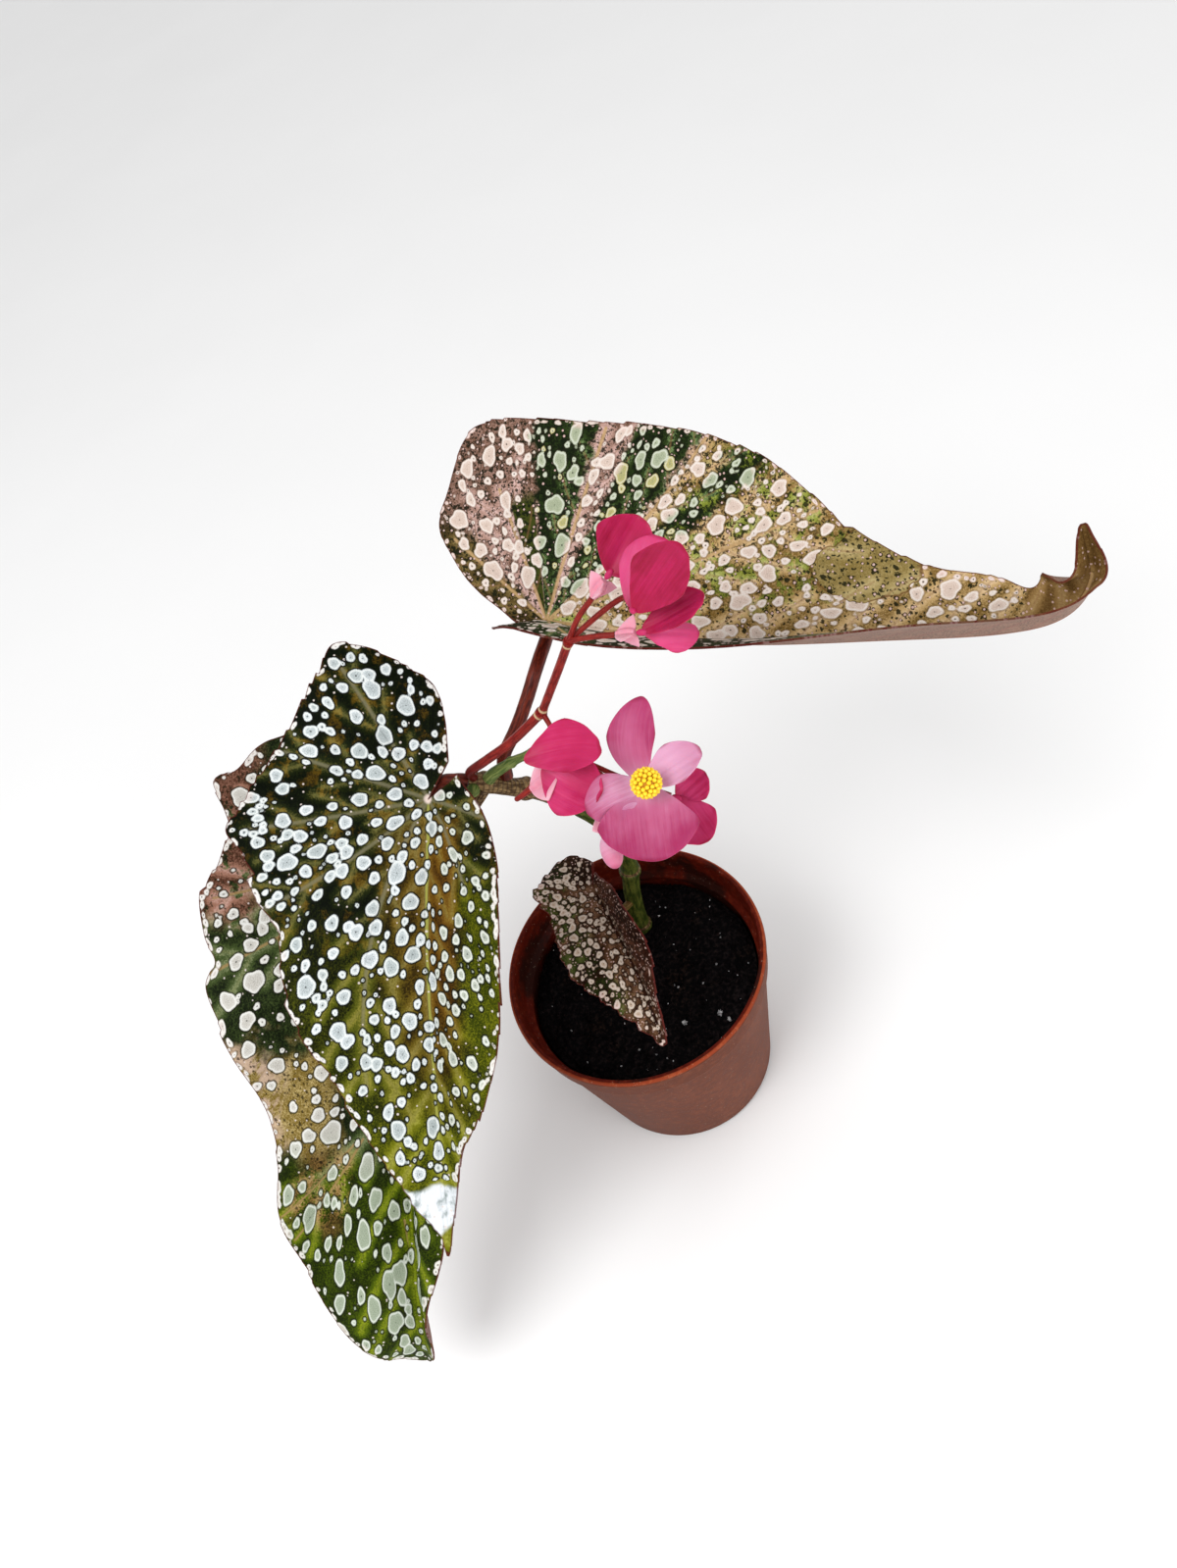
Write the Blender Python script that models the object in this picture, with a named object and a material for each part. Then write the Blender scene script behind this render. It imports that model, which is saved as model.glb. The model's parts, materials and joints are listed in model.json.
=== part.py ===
"""Potted cane begonia: a nursery pot with soil, one arching cane, four spotted
wing-shaped leaves on their stalks, and a branched red stalk of pink blooms.

Run it with blender --background --python part.py, or from Blender's text editor.
Sizes and places are in millimetres, with +Z up and the origin at the middle of the
pot's base, and each mesh is written in metres. Leaf outlines are drawn on the flat
blade as (along, across): along the midrib from the stalk, and across it, positive
on the leaf's wide side.
"""

import math

import bmesh
import bpy
import numpy as np

METRES = 0.001
GAP = 0.3

# Pot
POT_HEIGHT = 76.0
RIM_RADIUS = 45.0
RIM_BAND = 12.0
RIM_STEP = 1.2
BAND_STEP = 1.1
BAND_SLOPE = 1.2
LIP_HEIGHT = 3.0
LIP_FLARE = 0.6
LIP_WIDTH = 2.3
LIP_ROUND = 0.9
LEDGE_WIDTH = 1.1
LEDGE_DROP = 1.0
LEDGE_SLOPE = 2.5
BASE_RADIUS = 33.4
WALL = 1.4
BASE_THICKNESS = 2.0
BASE_CHAMFER = 1.5
BASE_FILLET = 2.0
DRAIN_COUNT = 6
DRAIN_RADIUS = 3.5
DRAIN_CIRCLE = 23.0
DRAIN_SIDES = 16
POT_SEGMENTS = 48

# Soil
SOIL_TOP = 62.0
SOIL_BUMP = 1.0
SOIL_SLOPE = 0.02
SOIL_EDGE_DROP = 1.5
SOIL_EDGE_GAP = 0.9
SOIL_RINGS = 5
SOIL_SEGMENTS = 36
CANE_HOLE_DEPTH = 22.0

# Cane and stalks
CANE_ROUTE = (
    (7, 20, 42), (7, 20, 58), (9, 21, 78), (13, 20, 100), (13, 17, 122),
    (7, 14, 143), (-1, 12, 160), (-8, 10, 170), (-13, 10, 175.5), (-17.5, 11, 178.5),
)
CANE_RINGS = 44
CANE_RADIUS = 3.1
CANE_TIP_RADIUS = 2.6
CANE_NODES = (0.14, 0.36, 0.58, 0.75, 0.87, 0.97)
NODE_SWELL = 0.9
NODE_WIDTH = 2.2
SHOOT_ROUTE = ((-13, 10, 176), (-9, 7, 181), (-3, 4, 185), (1, 2, 187), (4, 0, 190))
SHOOT_RADIUS = 2.0
SHOOT_TIP_RADIUS = 0.9
BUD_ROUTE = ((-16.5, 9, 177.5), (-17.6, 5, 178.8))
BUD_RADIUS = 1.9
STUB_ROUTE = ((-13, 10, 175), (-19, 9.5, 170.5), (-23, 11, 167))
STUB_RADIUS = 1.9

# Leaves
BLADE = 0.8
LEAF_RAYS = 60
LEAF_RINGS = 5
STALK_SIDES = 8
LEAF_STALK_RADIUS = 1.9
SMALL_STALK_RADIUS = 1.2

# Leaf stalks. The first point lies on the middle line of the cane or stub that bears the stalk
FRONT_STALK = ((-17.5, 11, 178.5), (-20, 11.6, 180.2), (-24.5, 14.2, 179.5))
BACK_STALK = ((-23, 11, 167), (-25.9, 12.1, 164.5), (-34, 22, 151))
UPPER_STALK = ((-8.5, 10, 171), (-5.2, 12, 180), (1, 13.5, 185.7), (7, 15.8, 191.3), (14, 20.5, 197))
SMALL_STALK = ((9, 21, 77), (4, 17, 81), (1, 16, 89), (-1, 15, 97))
STALK_LEAD = 4.0
STALK_UNDER = {"front": 0.65, "back": 1.5, "upper": 0.95, "small": 0.45}
STALK_START = {"front": 0.5, "back": 0.75, "upper": 4.1, "small": 3.8, "flower": 3.3}

# Flower stalk: the red main stalk and the fork stalk above it
MAIN_STALK = ((-15.5, 10.5, 177.5), (-15, 8.5, 184), (-9, 5, 189), (-1, 2, 194), (10, -3, 204))
FORK_STALK = ((10, -3, 204), (17, -8, 218), (23, -13, 231))
MAIN_STALK_RADIUS = 1.3
FORK_STALK_RADIUS = 1.1
BLOOM_STALK_RADIUS = 0.7
FLOWER_STALK_SIDES = 6

# Blooms. A view direction is (right, up, out) as seen from the plant's show side
SEEN_RIGHT = (0.897, -0.334, -0.288)
SEEN_UP = (0.441, 0.679, 0.586)
TOWARDS_VIEW = (0.0, -0.653, 0.757)
TEPAL = 0.7
TEPAL_SPOKES = 12
TEPAL_RINGS = 2
HUB_RADIUS = 1.5
OVARY_SIDES = 18
OVARY_RINGS = 6
STAMENS_RADIUS = 4.0
BUD_SIZE = (2.7, 4.8)
HOT_PINK = (0.62, 0.035, 0.14)
SOFT_PINK = (0.66, 0.17, 0.33)
PALE_PINK = (0.75, 0.40, 0.46)
YELLOW = (0.85, 0.6, 0.02)

# Each bloom's stalk runs through the points and on towards the base of its tepals. A seed case
# is (length, core, wing, turn), and a tepal (angle, tilt, roll, length, width, cup, curl)
BLOOMS = {
    "a": {
        "stalk": ((23, -13, 231), (27, -13.5, 236.5)),
        "base": (37.1, -14.3, 244.8),
        "ovary": (5.0, 1.6, 3.6, 20),
        "tepals": ((56, 8, 0, 15, 13.5, 2.5, 20), (44, -6, 200, 15, 12, 1.5, 15)),
        "colour": HOT_PINK,
    },
    "b": {
        "stalk": ((23, -13, 231), (33, -14.5, 236), (38.3, -17, 239)),
        "base": (37.8, -25.6, 242.4),
        "tepals": ((48, 30, 0, 19, 13, 3.0, 30), (66, 6, 190, 18, 15, 1.0, 8)),
        "colour": HOT_PINK,
    },
    "c": {
        "stalk": ((23, -13, 231), (28, -18.5, 234)),
        "base": (38.0, -25.8, 235.4),
        "ovary": (4.2, 1.6, 3.8, 40),
        "tepals": ((14, 22, 20, 16.5, 10, 2.5, 25), (13, -8, 205, 14.5, 11, 2.5, 25)),
        "colour": HOT_PINK,
    },
    "d": {
        "stalk": ((10, -3, 204), (10, -8, 200), (6, -11, 195), (-1, -13.5, 192), (-5.5, -16, 193)),
        "base": (8.4, -21.5, 201.8),
        "ovary": (9.5, 2.2, 4.6, 10),
        "tepals": (
            (43, 30, 0, 15.5, 14, 2.5, 25), (-80, 30, 0, 14.5, 11, 2.0, 25),
            (-14, -20, 0, 12, 9, 2.0, 10), (165, 25, 0, 12, 8, 2.0, 25),
        ),
        "colour": HOT_PINK,
    },
    "e": {
        "stalk": ((10, -8, 200), (13, -12, 192), (19, -21, 187)),
        "base": (24.6, -32, 195),
        "tepals": (
            (95, 12, 0, 22, 14, 1.5, 12), (31, 18, 0, 17, 10, 1.5, 10),
            (196, 17, 0, 15.2, 9, 1.5, 8), (-88, 14, 0, 19.5, 23, 2.5, 18),
        ),
        "stamens": (24.9, -36.6, 200.9),
        "colour": SOFT_PINK,
    },
    "f": {
        "stalk": ((13, -12, 192), (22, -19, 184)),
        "base": (31.2, -29, 181),
        "tepals": ((42, 10, 0, 10, 10, 2.0, 20), (-58, 15, 0, 14.5, 13, 2.0, 20)),
        "colour": HOT_PINK,
    },
    "g": {
        "stalk": ((13, -12, 192), (13, -22, 190)),
        "base": (10.3, -38.5, 185.6),
        "ovary": (5.0, 1.4, 1.8, 0),
        "colour": PALE_PINK,
    },
}


def unit(vector):
    vector = np.asarray(vector, float)
    return vector / np.linalg.norm(vector, axis=-1, keepdims=True)


def smooth(points, steps):
    """A Catmull-Rom curve through the points, with steps spans between two of them."""
    points = np.asarray(points, float)
    first, last = 2 * points[0] - points[1], 2 * points[-1] - points[-2]
    ends = np.vstack([first, points, last])
    t = np.linspace(0, 1, steps, endpoint=False)[:, None]
    runs = []
    for a, b, c, d in zip(ends, ends[1:], ends[2:], ends[3:]):
        cubic = -a + 3 * b - 3 * c + d
        runs.append(0.5 * (2 * b + (c - a) * t + (2 * a - 5 * b + 4 * c - d) * t**2 + cubic * t**3))
    return np.vstack(runs + [points[-1:]])


def distances(line):
    """How far along the line each of its points lies."""
    steps = np.linalg.norm(np.diff(line, axis=0), axis=1)
    return np.concatenate([[0], np.cumsum(steps)])


def resample(line, count):
    at = distances(line)
    places = np.linspace(0, at[-1], count)
    return np.stack([np.interp(places, at, line[:, k]) for k in range(line.shape[1])], axis=-1)


def material(name, colour, roughness):
    made = bpy.data.materials.new(name)
    made.use_nodes = True
    shader = made.node_tree.nodes["Principled BSDF"]
    shader.inputs["Base Color"].default_value = (*colour, 1)
    shader.inputs["Roughness"].default_value = roughness
    shader.inputs["Metallic"].default_value = 0
    made.diffuse_color = (*colour, 1)
    return made


def add_object(name, points, faces, made_of=None):
    mesh = bpy.data.meshes.new(name)
    mesh.from_pydata((np.asarray(points) * METRES).tolist(), [], [list(face) for face in faces])
    mesh.update()
    if made_of:
        mesh.materials.append(made_of)
    thing = bpy.data.objects.new(name, mesh)
    bpy.context.scene.collection.objects.link(thing)
    return thing


def apply_modifiers(thing):
    graph = bpy.context.evaluated_depsgraph_get()
    mesh = bpy.data.meshes.new_from_object(thing.evaluated_get(graph))
    thing.modifiers.clear()
    old = thing.data
    thing.data = mesh
    bpy.data.meshes.remove(old)


def fuse(name, shapes, made_of):
    """One body from several closed shapes, by one Boolean union on a collection."""
    first, others = shapes[0], shapes[1:]
    first.name = name
    first.data.name = name
    if others:
        group = bpy.data.collections.new(name + "_parts")
        for other in others:
            group.objects.link(other)
        union = first.modifiers.new("union", "BOOLEAN")
        union.operation = "UNION"
        union.operand_type = "COLLECTION"
        union.collection = group
        apply_modifiers(first)
        for other in others:
            bpy.data.objects.remove(other)
        bpy.data.collections.remove(group)
    first.data.materials.clear()
    first.data.materials.append(made_of)
    finish(first)
    return first


def finish(thing, angle=40):
    """Faces turned outwards, and smooth shading that keeps the sharp edges."""
    shape = bmesh.new()
    shape.from_mesh(thing.data)
    bmesh.ops.recalc_face_normals(shape, faces=shape.faces)
    shape.to_mesh(thing.data)
    shape.free()
    thing.data.shade_smooth()
    thing.data.set_sharp_from_angle(angle=math.radians(angle))


def ring_frames(line):
    """Directions across a line at each of its points, carried along without a twist."""
    tangent = unit(np.gradient(line, axis=0))
    across = [unit(np.cross(tangent[0], (0.31, 0.17, 0.93)))]
    for direction in tangent[1:]:
        carried = across[-1] - direction * (across[-1] @ direction)
        across.append(unit(carried))
    across = np.array(across)
    return tangent, across, np.cross(tangent, across)


def ring_faces(rings, sides):
    """Faces between rings of points that follow one another, with both ends closed."""
    faces = []
    for k in range(rings - 1):
        low, high = k * sides, (k + 1) * sides
        for j in range(sides):
            after = (j + 1) % sides
            faces.append((low + j, low + after, high + after, high + j))
    faces.append(tuple(range(sides))[::-1])
    faces.append(tuple(range((rings - 1) * sides, rings * sides)))
    return faces


def tube(name, line, radii, sides=STALK_SIDES):
    """A closed tube with flat ends and a radius at each point of its line."""
    _, across, other = ring_frames(line)
    turn = np.linspace(0, 2 * math.pi, sides, endpoint=False)
    rings = [
        centre + radius * (np.outer(np.cos(turn), a) + np.outer(np.sin(turn), b))
        for centre, radius, a, b in zip(line, radii, across, other)
    ]
    return add_object(name, np.vstack(rings), ring_faces(len(rings), sides))


def turned(name, profile, segments):
    """The profile, as (radius, height) from axis to axis, turned about +Z."""
    turn = np.linspace(0, 2 * math.pi, segments, endpoint=False)
    points = [(0, 0, profile[0][1])]
    for radius, height in profile[1:-1]:
        points += [(radius * math.cos(a), radius * math.sin(a), height) for a in turn]
    points.append((0, 0, profile[-1][1]))
    rows = len(profile) - 2
    faces = []
    for j in range(segments):
        k = (j + 1) % segments
        faces.append((0, 1 + k, 1 + j))
        for row in range(rows - 1):
            low, high = 1 + row * segments, 1 + (row + 1) * segments
            faces.append((low + j, low + k, high + k, high + j))
        top = 1 + (rows - 1) * segments
        faces.append((top + j, top + k, len(points) - 1))
    return add_object(name, points, faces)


def cut(thing, cutters):
    group = bpy.data.collections.new("cutters")
    for cutter in cutters:
        finish(cutter)
        group.objects.link(cutter)
    hole = thing.modifiers.new("holes", "BOOLEAN")
    hole.operation = "DIFFERENCE"
    hole.operand_type = "COLLECTION"
    hole.collection = group
    finish(thing)
    apply_modifiers(thing)
    for cutter in cutters:
        bpy.data.objects.remove(cutter)
    bpy.data.collections.remove(group)


def cylinder(centre, radius, low, high, sides):
    line = np.array([(*centre, low), (*centre, high)], float)
    return tube("cutter", line, (radius, radius), sides)


# The pot and its soil


def wall_radius(height):
    """The outer radius of the tapered body at a height."""
    band_low = POT_HEIGHT - RIM_BAND
    body_top = RIM_RADIUS - RIM_STEP - BAND_STEP
    return BASE_RADIUS + (body_top - BASE_RADIUS) * height / band_low


def inner_radius(height):
    return wall_radius(height) - WALL


def make_pot():
    band_low = POT_HEIGHT - RIM_BAND
    band_radius = RIM_RADIUS - RIM_STEP
    lip_low = POT_HEIGHT - LIP_HEIGHT
    ledge_low = band_low - LEDGE_DROP - LEDGE_SLOPE
    floor_edge = BASE_THICKNESS + BASE_FILLET
    profile = [
        (0, 0), (BASE_RADIUS - BASE_CHAMFER, 0), (wall_radius(BASE_CHAMFER), BASE_CHAMFER),
        (wall_radius(band_low), band_low), (band_radius, band_low + BAND_SLOPE),
        (RIM_RADIUS - LIP_FLARE, lip_low), (RIM_RADIUS, lip_low + LIP_ROUND),
        (RIM_RADIUS, POT_HEIGHT - LIP_ROUND), (RIM_RADIUS - LIP_ROUND / 2, POT_HEIGHT),
        (RIM_RADIUS - LIP_WIDTH + LIP_ROUND / 2, POT_HEIGHT), (RIM_RADIUS - LIP_WIDTH, POT_HEIGHT - LIP_ROUND),
        (band_radius - WALL, band_low + BAND_SLOPE), (inner_radius(band_low) - LEDGE_WIDTH, band_low - LEDGE_DROP),
        (inner_radius(ledge_low), ledge_low), (inner_radius(floor_edge), floor_edge),
        (inner_radius(BASE_THICKNESS) - BASE_FILLET, BASE_THICKNESS), (0, BASE_THICKNESS),
    ]
    pot = turned("pot", profile, POT_SEGMENTS)
    drains = []
    for k in range(DRAIN_COUNT):
        angle = 2 * math.pi * (k + 0.5) / DRAIN_COUNT
        centre = (DRAIN_CIRCLE * math.cos(angle), DRAIN_CIRCLE * math.sin(angle))
        drains.append(cylinder(centre, DRAIN_RADIUS, -1, BASE_THICKNESS + 1, DRAIN_SIDES))
    cut(pot, drains)
    pot.data.materials.clear()
    pot.data.materials.append(material("pot_plastic", (0.24, 0.075, 0.035), 0.5))
    finish(pot)


def soil_height(x, y):
    """The uneven top of the soil, a little lower towards the back wall."""
    ripple = math.sin(0.19 * x + 1.3) * math.cos(0.23 * y - 0.4) + 0.6 * math.sin(0.41 * x - 0.33 * y)
    return SOIL_TOP + SOIL_BUMP * ripple - SOIL_SLOPE * y


def make_soil():
    low = BASE_THICKNESS + GAP
    shoulder = low + BASE_FILLET
    turn = np.linspace(0, 2 * math.pi, SOIL_SEGMENTS, endpoint=False)
    top_radius = inner_radius(SOIL_TOP - SOIL_EDGE_DROP) - LEDGE_WIDTH - GAP
    points = [(0, 0, soil_height(0, 0))]
    for ring in range(1, SOIL_RINGS + 1):
        radius = top_radius * ring / SOIL_RINGS
        drop = SOIL_EDGE_DROP if ring == SOIL_RINGS else 0
        for angle in turn:
            x, y = radius * math.cos(angle), radius * math.sin(angle)
            points.append((x, y, soil_height(x, y) - drop))
    shoulder_radius = inner_radius(shoulder) - SOIL_EDGE_GAP
    foot_radius = inner_radius(low) - BASE_FILLET - SOIL_EDGE_GAP
    for radius, height in ((shoulder_radius, shoulder), (foot_radius, low)):
        points += [(radius * math.cos(a), radius * math.sin(a), height) for a in turn]
    points.append((0, 0, low))
    faces = []
    rows = SOIL_RINGS + 2
    for j in range(SOIL_SEGMENTS):
        k = (j + 1) % SOIL_SEGMENTS
        faces.append((0, 1 + j, 1 + k))
        for row in range(rows - 1):
            a, b = 1 + row * SOIL_SEGMENTS, 1 + (row + 1) * SOIL_SEGMENTS
            faces += [(a + j, b + j, b + k), (a + j, b + k, a + k)]
        last = 1 + (rows - 1) * SOIL_SEGMENTS
        faces.append((last + k, last + j, len(points) - 1))
    soil = add_object("soil", points, faces)
    x, y, _ = CANE_ROUTE[0]
    bottom = SOIL_TOP - CANE_HOLE_DEPTH
    hole = cylinder((x, y), CANE_RADIUS + NODE_SWELL + GAP, bottom, SOIL_TOP + 10, DRAIN_SIDES)
    cut(soil, [hole])
    soil.data.materials.clear()
    soil.data.materials.append(material("potting_soil", (0.018, 0.013, 0.011), 0.95))
    finish(soil, 25)


# The cane with its young shoot, bud and stub


def cane_line():
    """The middle line of the cane, with its radius at each point."""
    line = resample(smooth(CANE_ROUTE, 12), CANE_RINGS)
    at = distances(line)
    radii = CANE_RADIUS + (CANE_TIP_RADIUS - CANE_RADIUS) * at / at[-1]
    for node in CANE_NODES:
        radii += NODE_SWELL * np.exp(-(((at - node * at[-1]) / NODE_WIDTH) ** 2))
    return line, radii


def off_the_skin(route, radius):
    """The route with its first point moved out along it, to just off the skin of what bears it."""
    start, after = np.array(route[0], float), np.array(route[1], float)
    return [start + unit(after - start) * (radius + GAP), after] + [np.array(p, float) for p in route[2:]]


def make_cane():
    line, radii = cane_line()
    cane = tube("cane", line, radii)
    shoot_line = smooth(SHOOT_ROUTE, 4)
    shoot = tube("shoot", shoot_line, np.linspace(SHOOT_RADIUS, SHOOT_TIP_RADIUS, len(shoot_line)))
    stub_line = smooth(STUB_ROUTE, 3)
    stub = tube("stub", stub_line, np.full(len(stub_line), STUB_RADIUS))
    foot, tip = np.array(BUD_ROUTE)
    bud = ball((foot + tip) / 2, BUD_RADIUS, 7, 8, (tip - foot) / 2)
    fuse("cane", [cane, shoot, stub, bud], material("cane_skin", (0.10, 0.085, 0.03), 0.55))


# Leaves


class Blade:
    """Where a point of the flat leaf, (along, across), lies in space.

    The midrib follows the spine. Each half leaves it at a lift, in degrees at the
    stalk and at the tip, and curls back by bend degrees for each millimetre across.
    The fold dies away behind the stalk, where the two lobes meet.
    """

    def __init__(self, spine, face, hand, wide, narrow, twist=(0, 0)):
        self.line = smooth(spine, 24)
        self.at = distances(self.line)
        self.length = self.at[-1]
        self.tangents = unit(np.gradient(self.line, self.at, axis=0))
        self.face = unit(face)
        self.hand = hand
        self.wide = wide
        self.narrow = narrow
        self.twist = twist

    def place(self, along, across, rise=0.0):
        along, across = np.asarray(along, float), np.asarray(across, float)
        held = np.clip(along, 0, self.length)
        share = held / self.length
        spot = np.stack([np.interp(held, self.at, self.line[:, k]) for k in range(3)], axis=-1)
        tangent = unit(np.stack([np.interp(held, self.at, self.tangents[:, k]) for k in range(3)], axis=-1))
        spot = spot + (along - held)[..., None] * tangent
        side = unit(np.cross(self.face, tangent))
        up = np.cross(tangent, side)
        turn = np.radians(self.twist[0] + (self.twist[1] - self.twist[0]) * share)[..., None]
        side, up = side * np.cos(turn) + up * np.sin(turn), up * np.cos(turn) - side * np.sin(turn)
        far = np.abs(across)
        behind = np.clip(np.degrees(np.arctan2(far, along)) - 90, 0, 90)
        fade = np.cos(np.radians(behind))
        on_wide = across >= 0
        first = np.where(on_wide, self.wide[0], self.narrow[0])
        last = np.where(on_wide, self.wide[1], self.narrow[1])
        lift = np.radians((first + (last - first) * share) * fade)
        curl = np.radians(np.where(on_wide, self.wide[2], self.narrow[2]) * fade + 1e-5)
        level = (np.sin(lift) - np.sin(lift - curl * far)) / curl
        height = (np.cos(lift - curl * far) - np.cos(lift)) / curl
        sign = np.where(on_wide, 1, -1) * self.hand
        slope = lift - curl * far
        normal = up * np.cos(slope)[..., None] - side * (sign * np.sin(slope))[..., None]
        spot = spot + (level * sign)[..., None] * side + height[..., None] * up
        return spot + np.asarray(rise)[..., None] * normal


def margin(outline, rays, teeth, depth):
    """The flat outline as a smooth line with rays points, cut into shallow teeth."""
    line = resample(smooth(outline, 8), rays)
    share = np.linspace(0, 1, rays)
    tooth = (share * teeth) % 1.0
    cut_in = depth * tooth * np.sin(math.pi * share) ** 0.5
    reach = np.linalg.norm(line, axis=1)
    return line * (1 - cut_in / reach)[:, None]


def vertex_normals(points, faces):
    corners = points[faces]
    flat = np.cross(corners[:, 1] - corners[:, 0], corners[:, 2] - corners[:, 0])
    total = np.zeros_like(points)
    for k in range(3):
        np.add.at(total, faces[:, k], flat)
    return unit(total)


def leaf_faces(rays, rings):
    """Triangles of one face of the blade: a fan round the stalk, then rings out to the margin."""
    faces = []
    for j in range(rays - 1):
        a, b = 1 + j * rings, 1 + (j + 1) * rings
        faces.append((0, a, b))
        for k in range(rings - 1):
            if (j + k) % 2:
                faces += [(a + k, a + k + 1, b + k + 1), (a + k, b + k + 1, b + k)]
            else:
                faces += [(a + k, a + k + 1, b + k), (b + k, a + k + 1, b + k + 1)]
    return np.array(faces)


def make_leaf(name, blade, outline, waves, wave_height, teeth, depth, colour, rays=LEAF_RAYS, rings=LEAF_RINGS):
    edge = margin(outline, rays, teeth, depth)
    share = np.linspace(0, 1, rays)
    out = (np.arange(rings) + 1.0) / rings
    flat = edge[:, None, :] * out[None, :, None]
    swell = wave_height * np.sin(2 * math.pi * waves * share + 0.8)[:, None] * out[None, :] ** 2
    on_rib = np.clip(np.abs(flat[..., 1]) / 12, 0, 1)
    points = blade.place(flat[..., 0], flat[..., 1], swell * on_rib).reshape(-1, 3)
    points = np.vstack([blade.place(0.0, 0.0)[None], points])
    faces = leaf_faces(rays, rings)
    normals = vertex_normals(points, faces)
    upper, lower = points + normals * BLADE / 2, points - normals * BLADE / 2
    count = len(points)
    rim = [0] + [1 + k for k in range(rings)] + [j * rings + rings for j in range(1, rays)]
    rim += [1 + (rays - 1) * rings + k for k in range(rings - 2, -1, -1)]
    solid = [tuple(face) for face in faces] + [tuple(face[::-1] + count) for face in faces]
    for a, b in zip(rim, rim[1:] + rim[:1]):
        solid += [(a, a + count, b + count), (a, b + count, b)]
    leaf = add_object(name, np.vstack([upper, lower]), solid, material(name + "_skin", colour, 0.45))
    finish(leaf, 60)
    return leaf


FRONT_SPINE = ((-29, 10, 180), (-46, -20, 161), (-63, -49, 134), (-80, -77, 104))
FRONT_OUTLINE = (
    (-10, -6), (-25, -4), (-34, 0), (-39, 8), (-44, 19), (-44, 28), (-35, 32), (-23, 38),
    (-11, 45), (3, 52), (10, 55), (16, 51), (28, 46), (36, 41), (48, 40), (60, 36), (76, 28),
    (94, 19), (113, 9), (122, 3), (127, 0), (120, -3), (107, -5), (98, -8), (89, -14),
    (78, -18), (64, -22), (48, -25), (36, -26), (25, -25), (13, -22), (3, -18), (-6, -11),
)

BACK_SPINE = (
    (-43, 20, 150), (-64, -3, 125), (-86, -31, 92), (-103, -57, 64), (-113, -71, 43), (-117, -73, 32),
)
BACK_OUTLINE = (
    (-9, -5), (-20, 0), (-31, 12), (-36, 30), (-32, 43), (-28, 50), (-21, 56), (-16, 63),
    (-8, 59), (-2, 57), (8, 59), (18, 63), (30, 62), (37, 59), (44, 61), (56, 55), (74, 46),
    (86, 42), (98, 40), (112, 40), (127, 35), (141, 30), (152, 24), (162, 16), (170, 8), (174, 0),
    (164, -5), (148, -11), (125, -18), (100, -23), (70, -28), (40, -30), (20, -28), (5, -22), (-6, -13),
)

UPPER_SPINE = (
    (22, 32, 200), (40, 17, 196), (66, 1, 190), (98, -14, 184), (126, -25, 178),
    (141, -29, 178), (150, -27, 184), (151, -22, 196),
)
UPPER_OUTLINE = (
    (-5, -4), (-14, 1), (-22, 5), (-30, 11), (-39, 22), (-38, 33), (-36, 46), (-31, 52),
    (-20, 54), (-6, 55), (10, 56), (25, 56), (40, 55), (57, 50), (66, 45), (76, 37), (83, 30),
    (92, 24), (105, 18), (120, 15), (133, 10), (143, 8), (152, 6), (162, 0), (154, -3),
    (140, -6), (120, -12), (95, -20), (70, -26), (45, -29), (25, -28), (8, -23), (-6, -17), (-13, -8),
)

SMALL_SPINE = ((-1, 13, 104), (0, -19, 99), (-2, -42, 88))
SMALL_OUTLINE = (
    (-8, -4), (-13, -1), (-16, 4), (-13, 12), (-6, 20), (3, 18), (16, 20), (27, 20), (33, 17),
    (38, 14), (46, 9), (54, 3), (58, 0), (52, -3), (42, -6), (32, -11), (22, -13), (11, -11), (3, -8), (-4, -4),
)


def leaf_blades():
    front = Blade(FRONT_SPINE, TOWARDS_VIEW, -1, (10, 10, 0.15), (40, 30, 0.3))
    back = Blade(BACK_SPINE, TOWARDS_VIEW, -1, (8, 8, 0.1), (65, 65, 0.4))
    upper = Blade(UPPER_SPINE, (0, -0.27, 0.96), 1, (25, 25, 0.0), (56, 84, 0.5))
    small = Blade(SMALL_SPINE, TOWARDS_VIEW, -1, (15, 15, 0.2), (60, 60, 0.3))
    return {"front": front, "back": back, "upper": upper, "small": small}


def make_leaves(blades):
    make_leaf("leaf_front", blades["front"], FRONT_OUTLINE, 7, 1.6, 12, 1.0, (0.07, 0.10, 0.02))
    make_leaf("leaf_back", blades["back"], BACK_OUTLINE, 9, 2.6, 12, 1.0, (0.11, 0.12, 0.03))
    make_leaf("leaf_upper", blades["upper"], UPPER_OUTLINE, 8, 1.4, 12, 0.8, (0.30, 0.20, 0.12))
    make_leaf("leaf_small", blades["small"], SMALL_OUTLINE, 6, 0.9, 22, 1.1, (0.22, 0.14, 0.09), 50, 4)



# Stalks


def make_leaf_stalk(side, route, radius, blade, colour):
    """A stalk that ends square under the leaf, at the foot of its midrib."""
    name = "stalk_" + side
    under = [blade.place(0.0, 0.0, -rise) for rise in (STALK_LEAD, BLADE / 2 + STALK_UNDER[side])]
    line = smooth(off_the_skin(route, STALK_START[side]) + under, 3)
    thing = tube(name, line, np.full(len(line), radius))
    fuse(name, [thing], material(name + "_skin", colour, 0.45))


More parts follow.
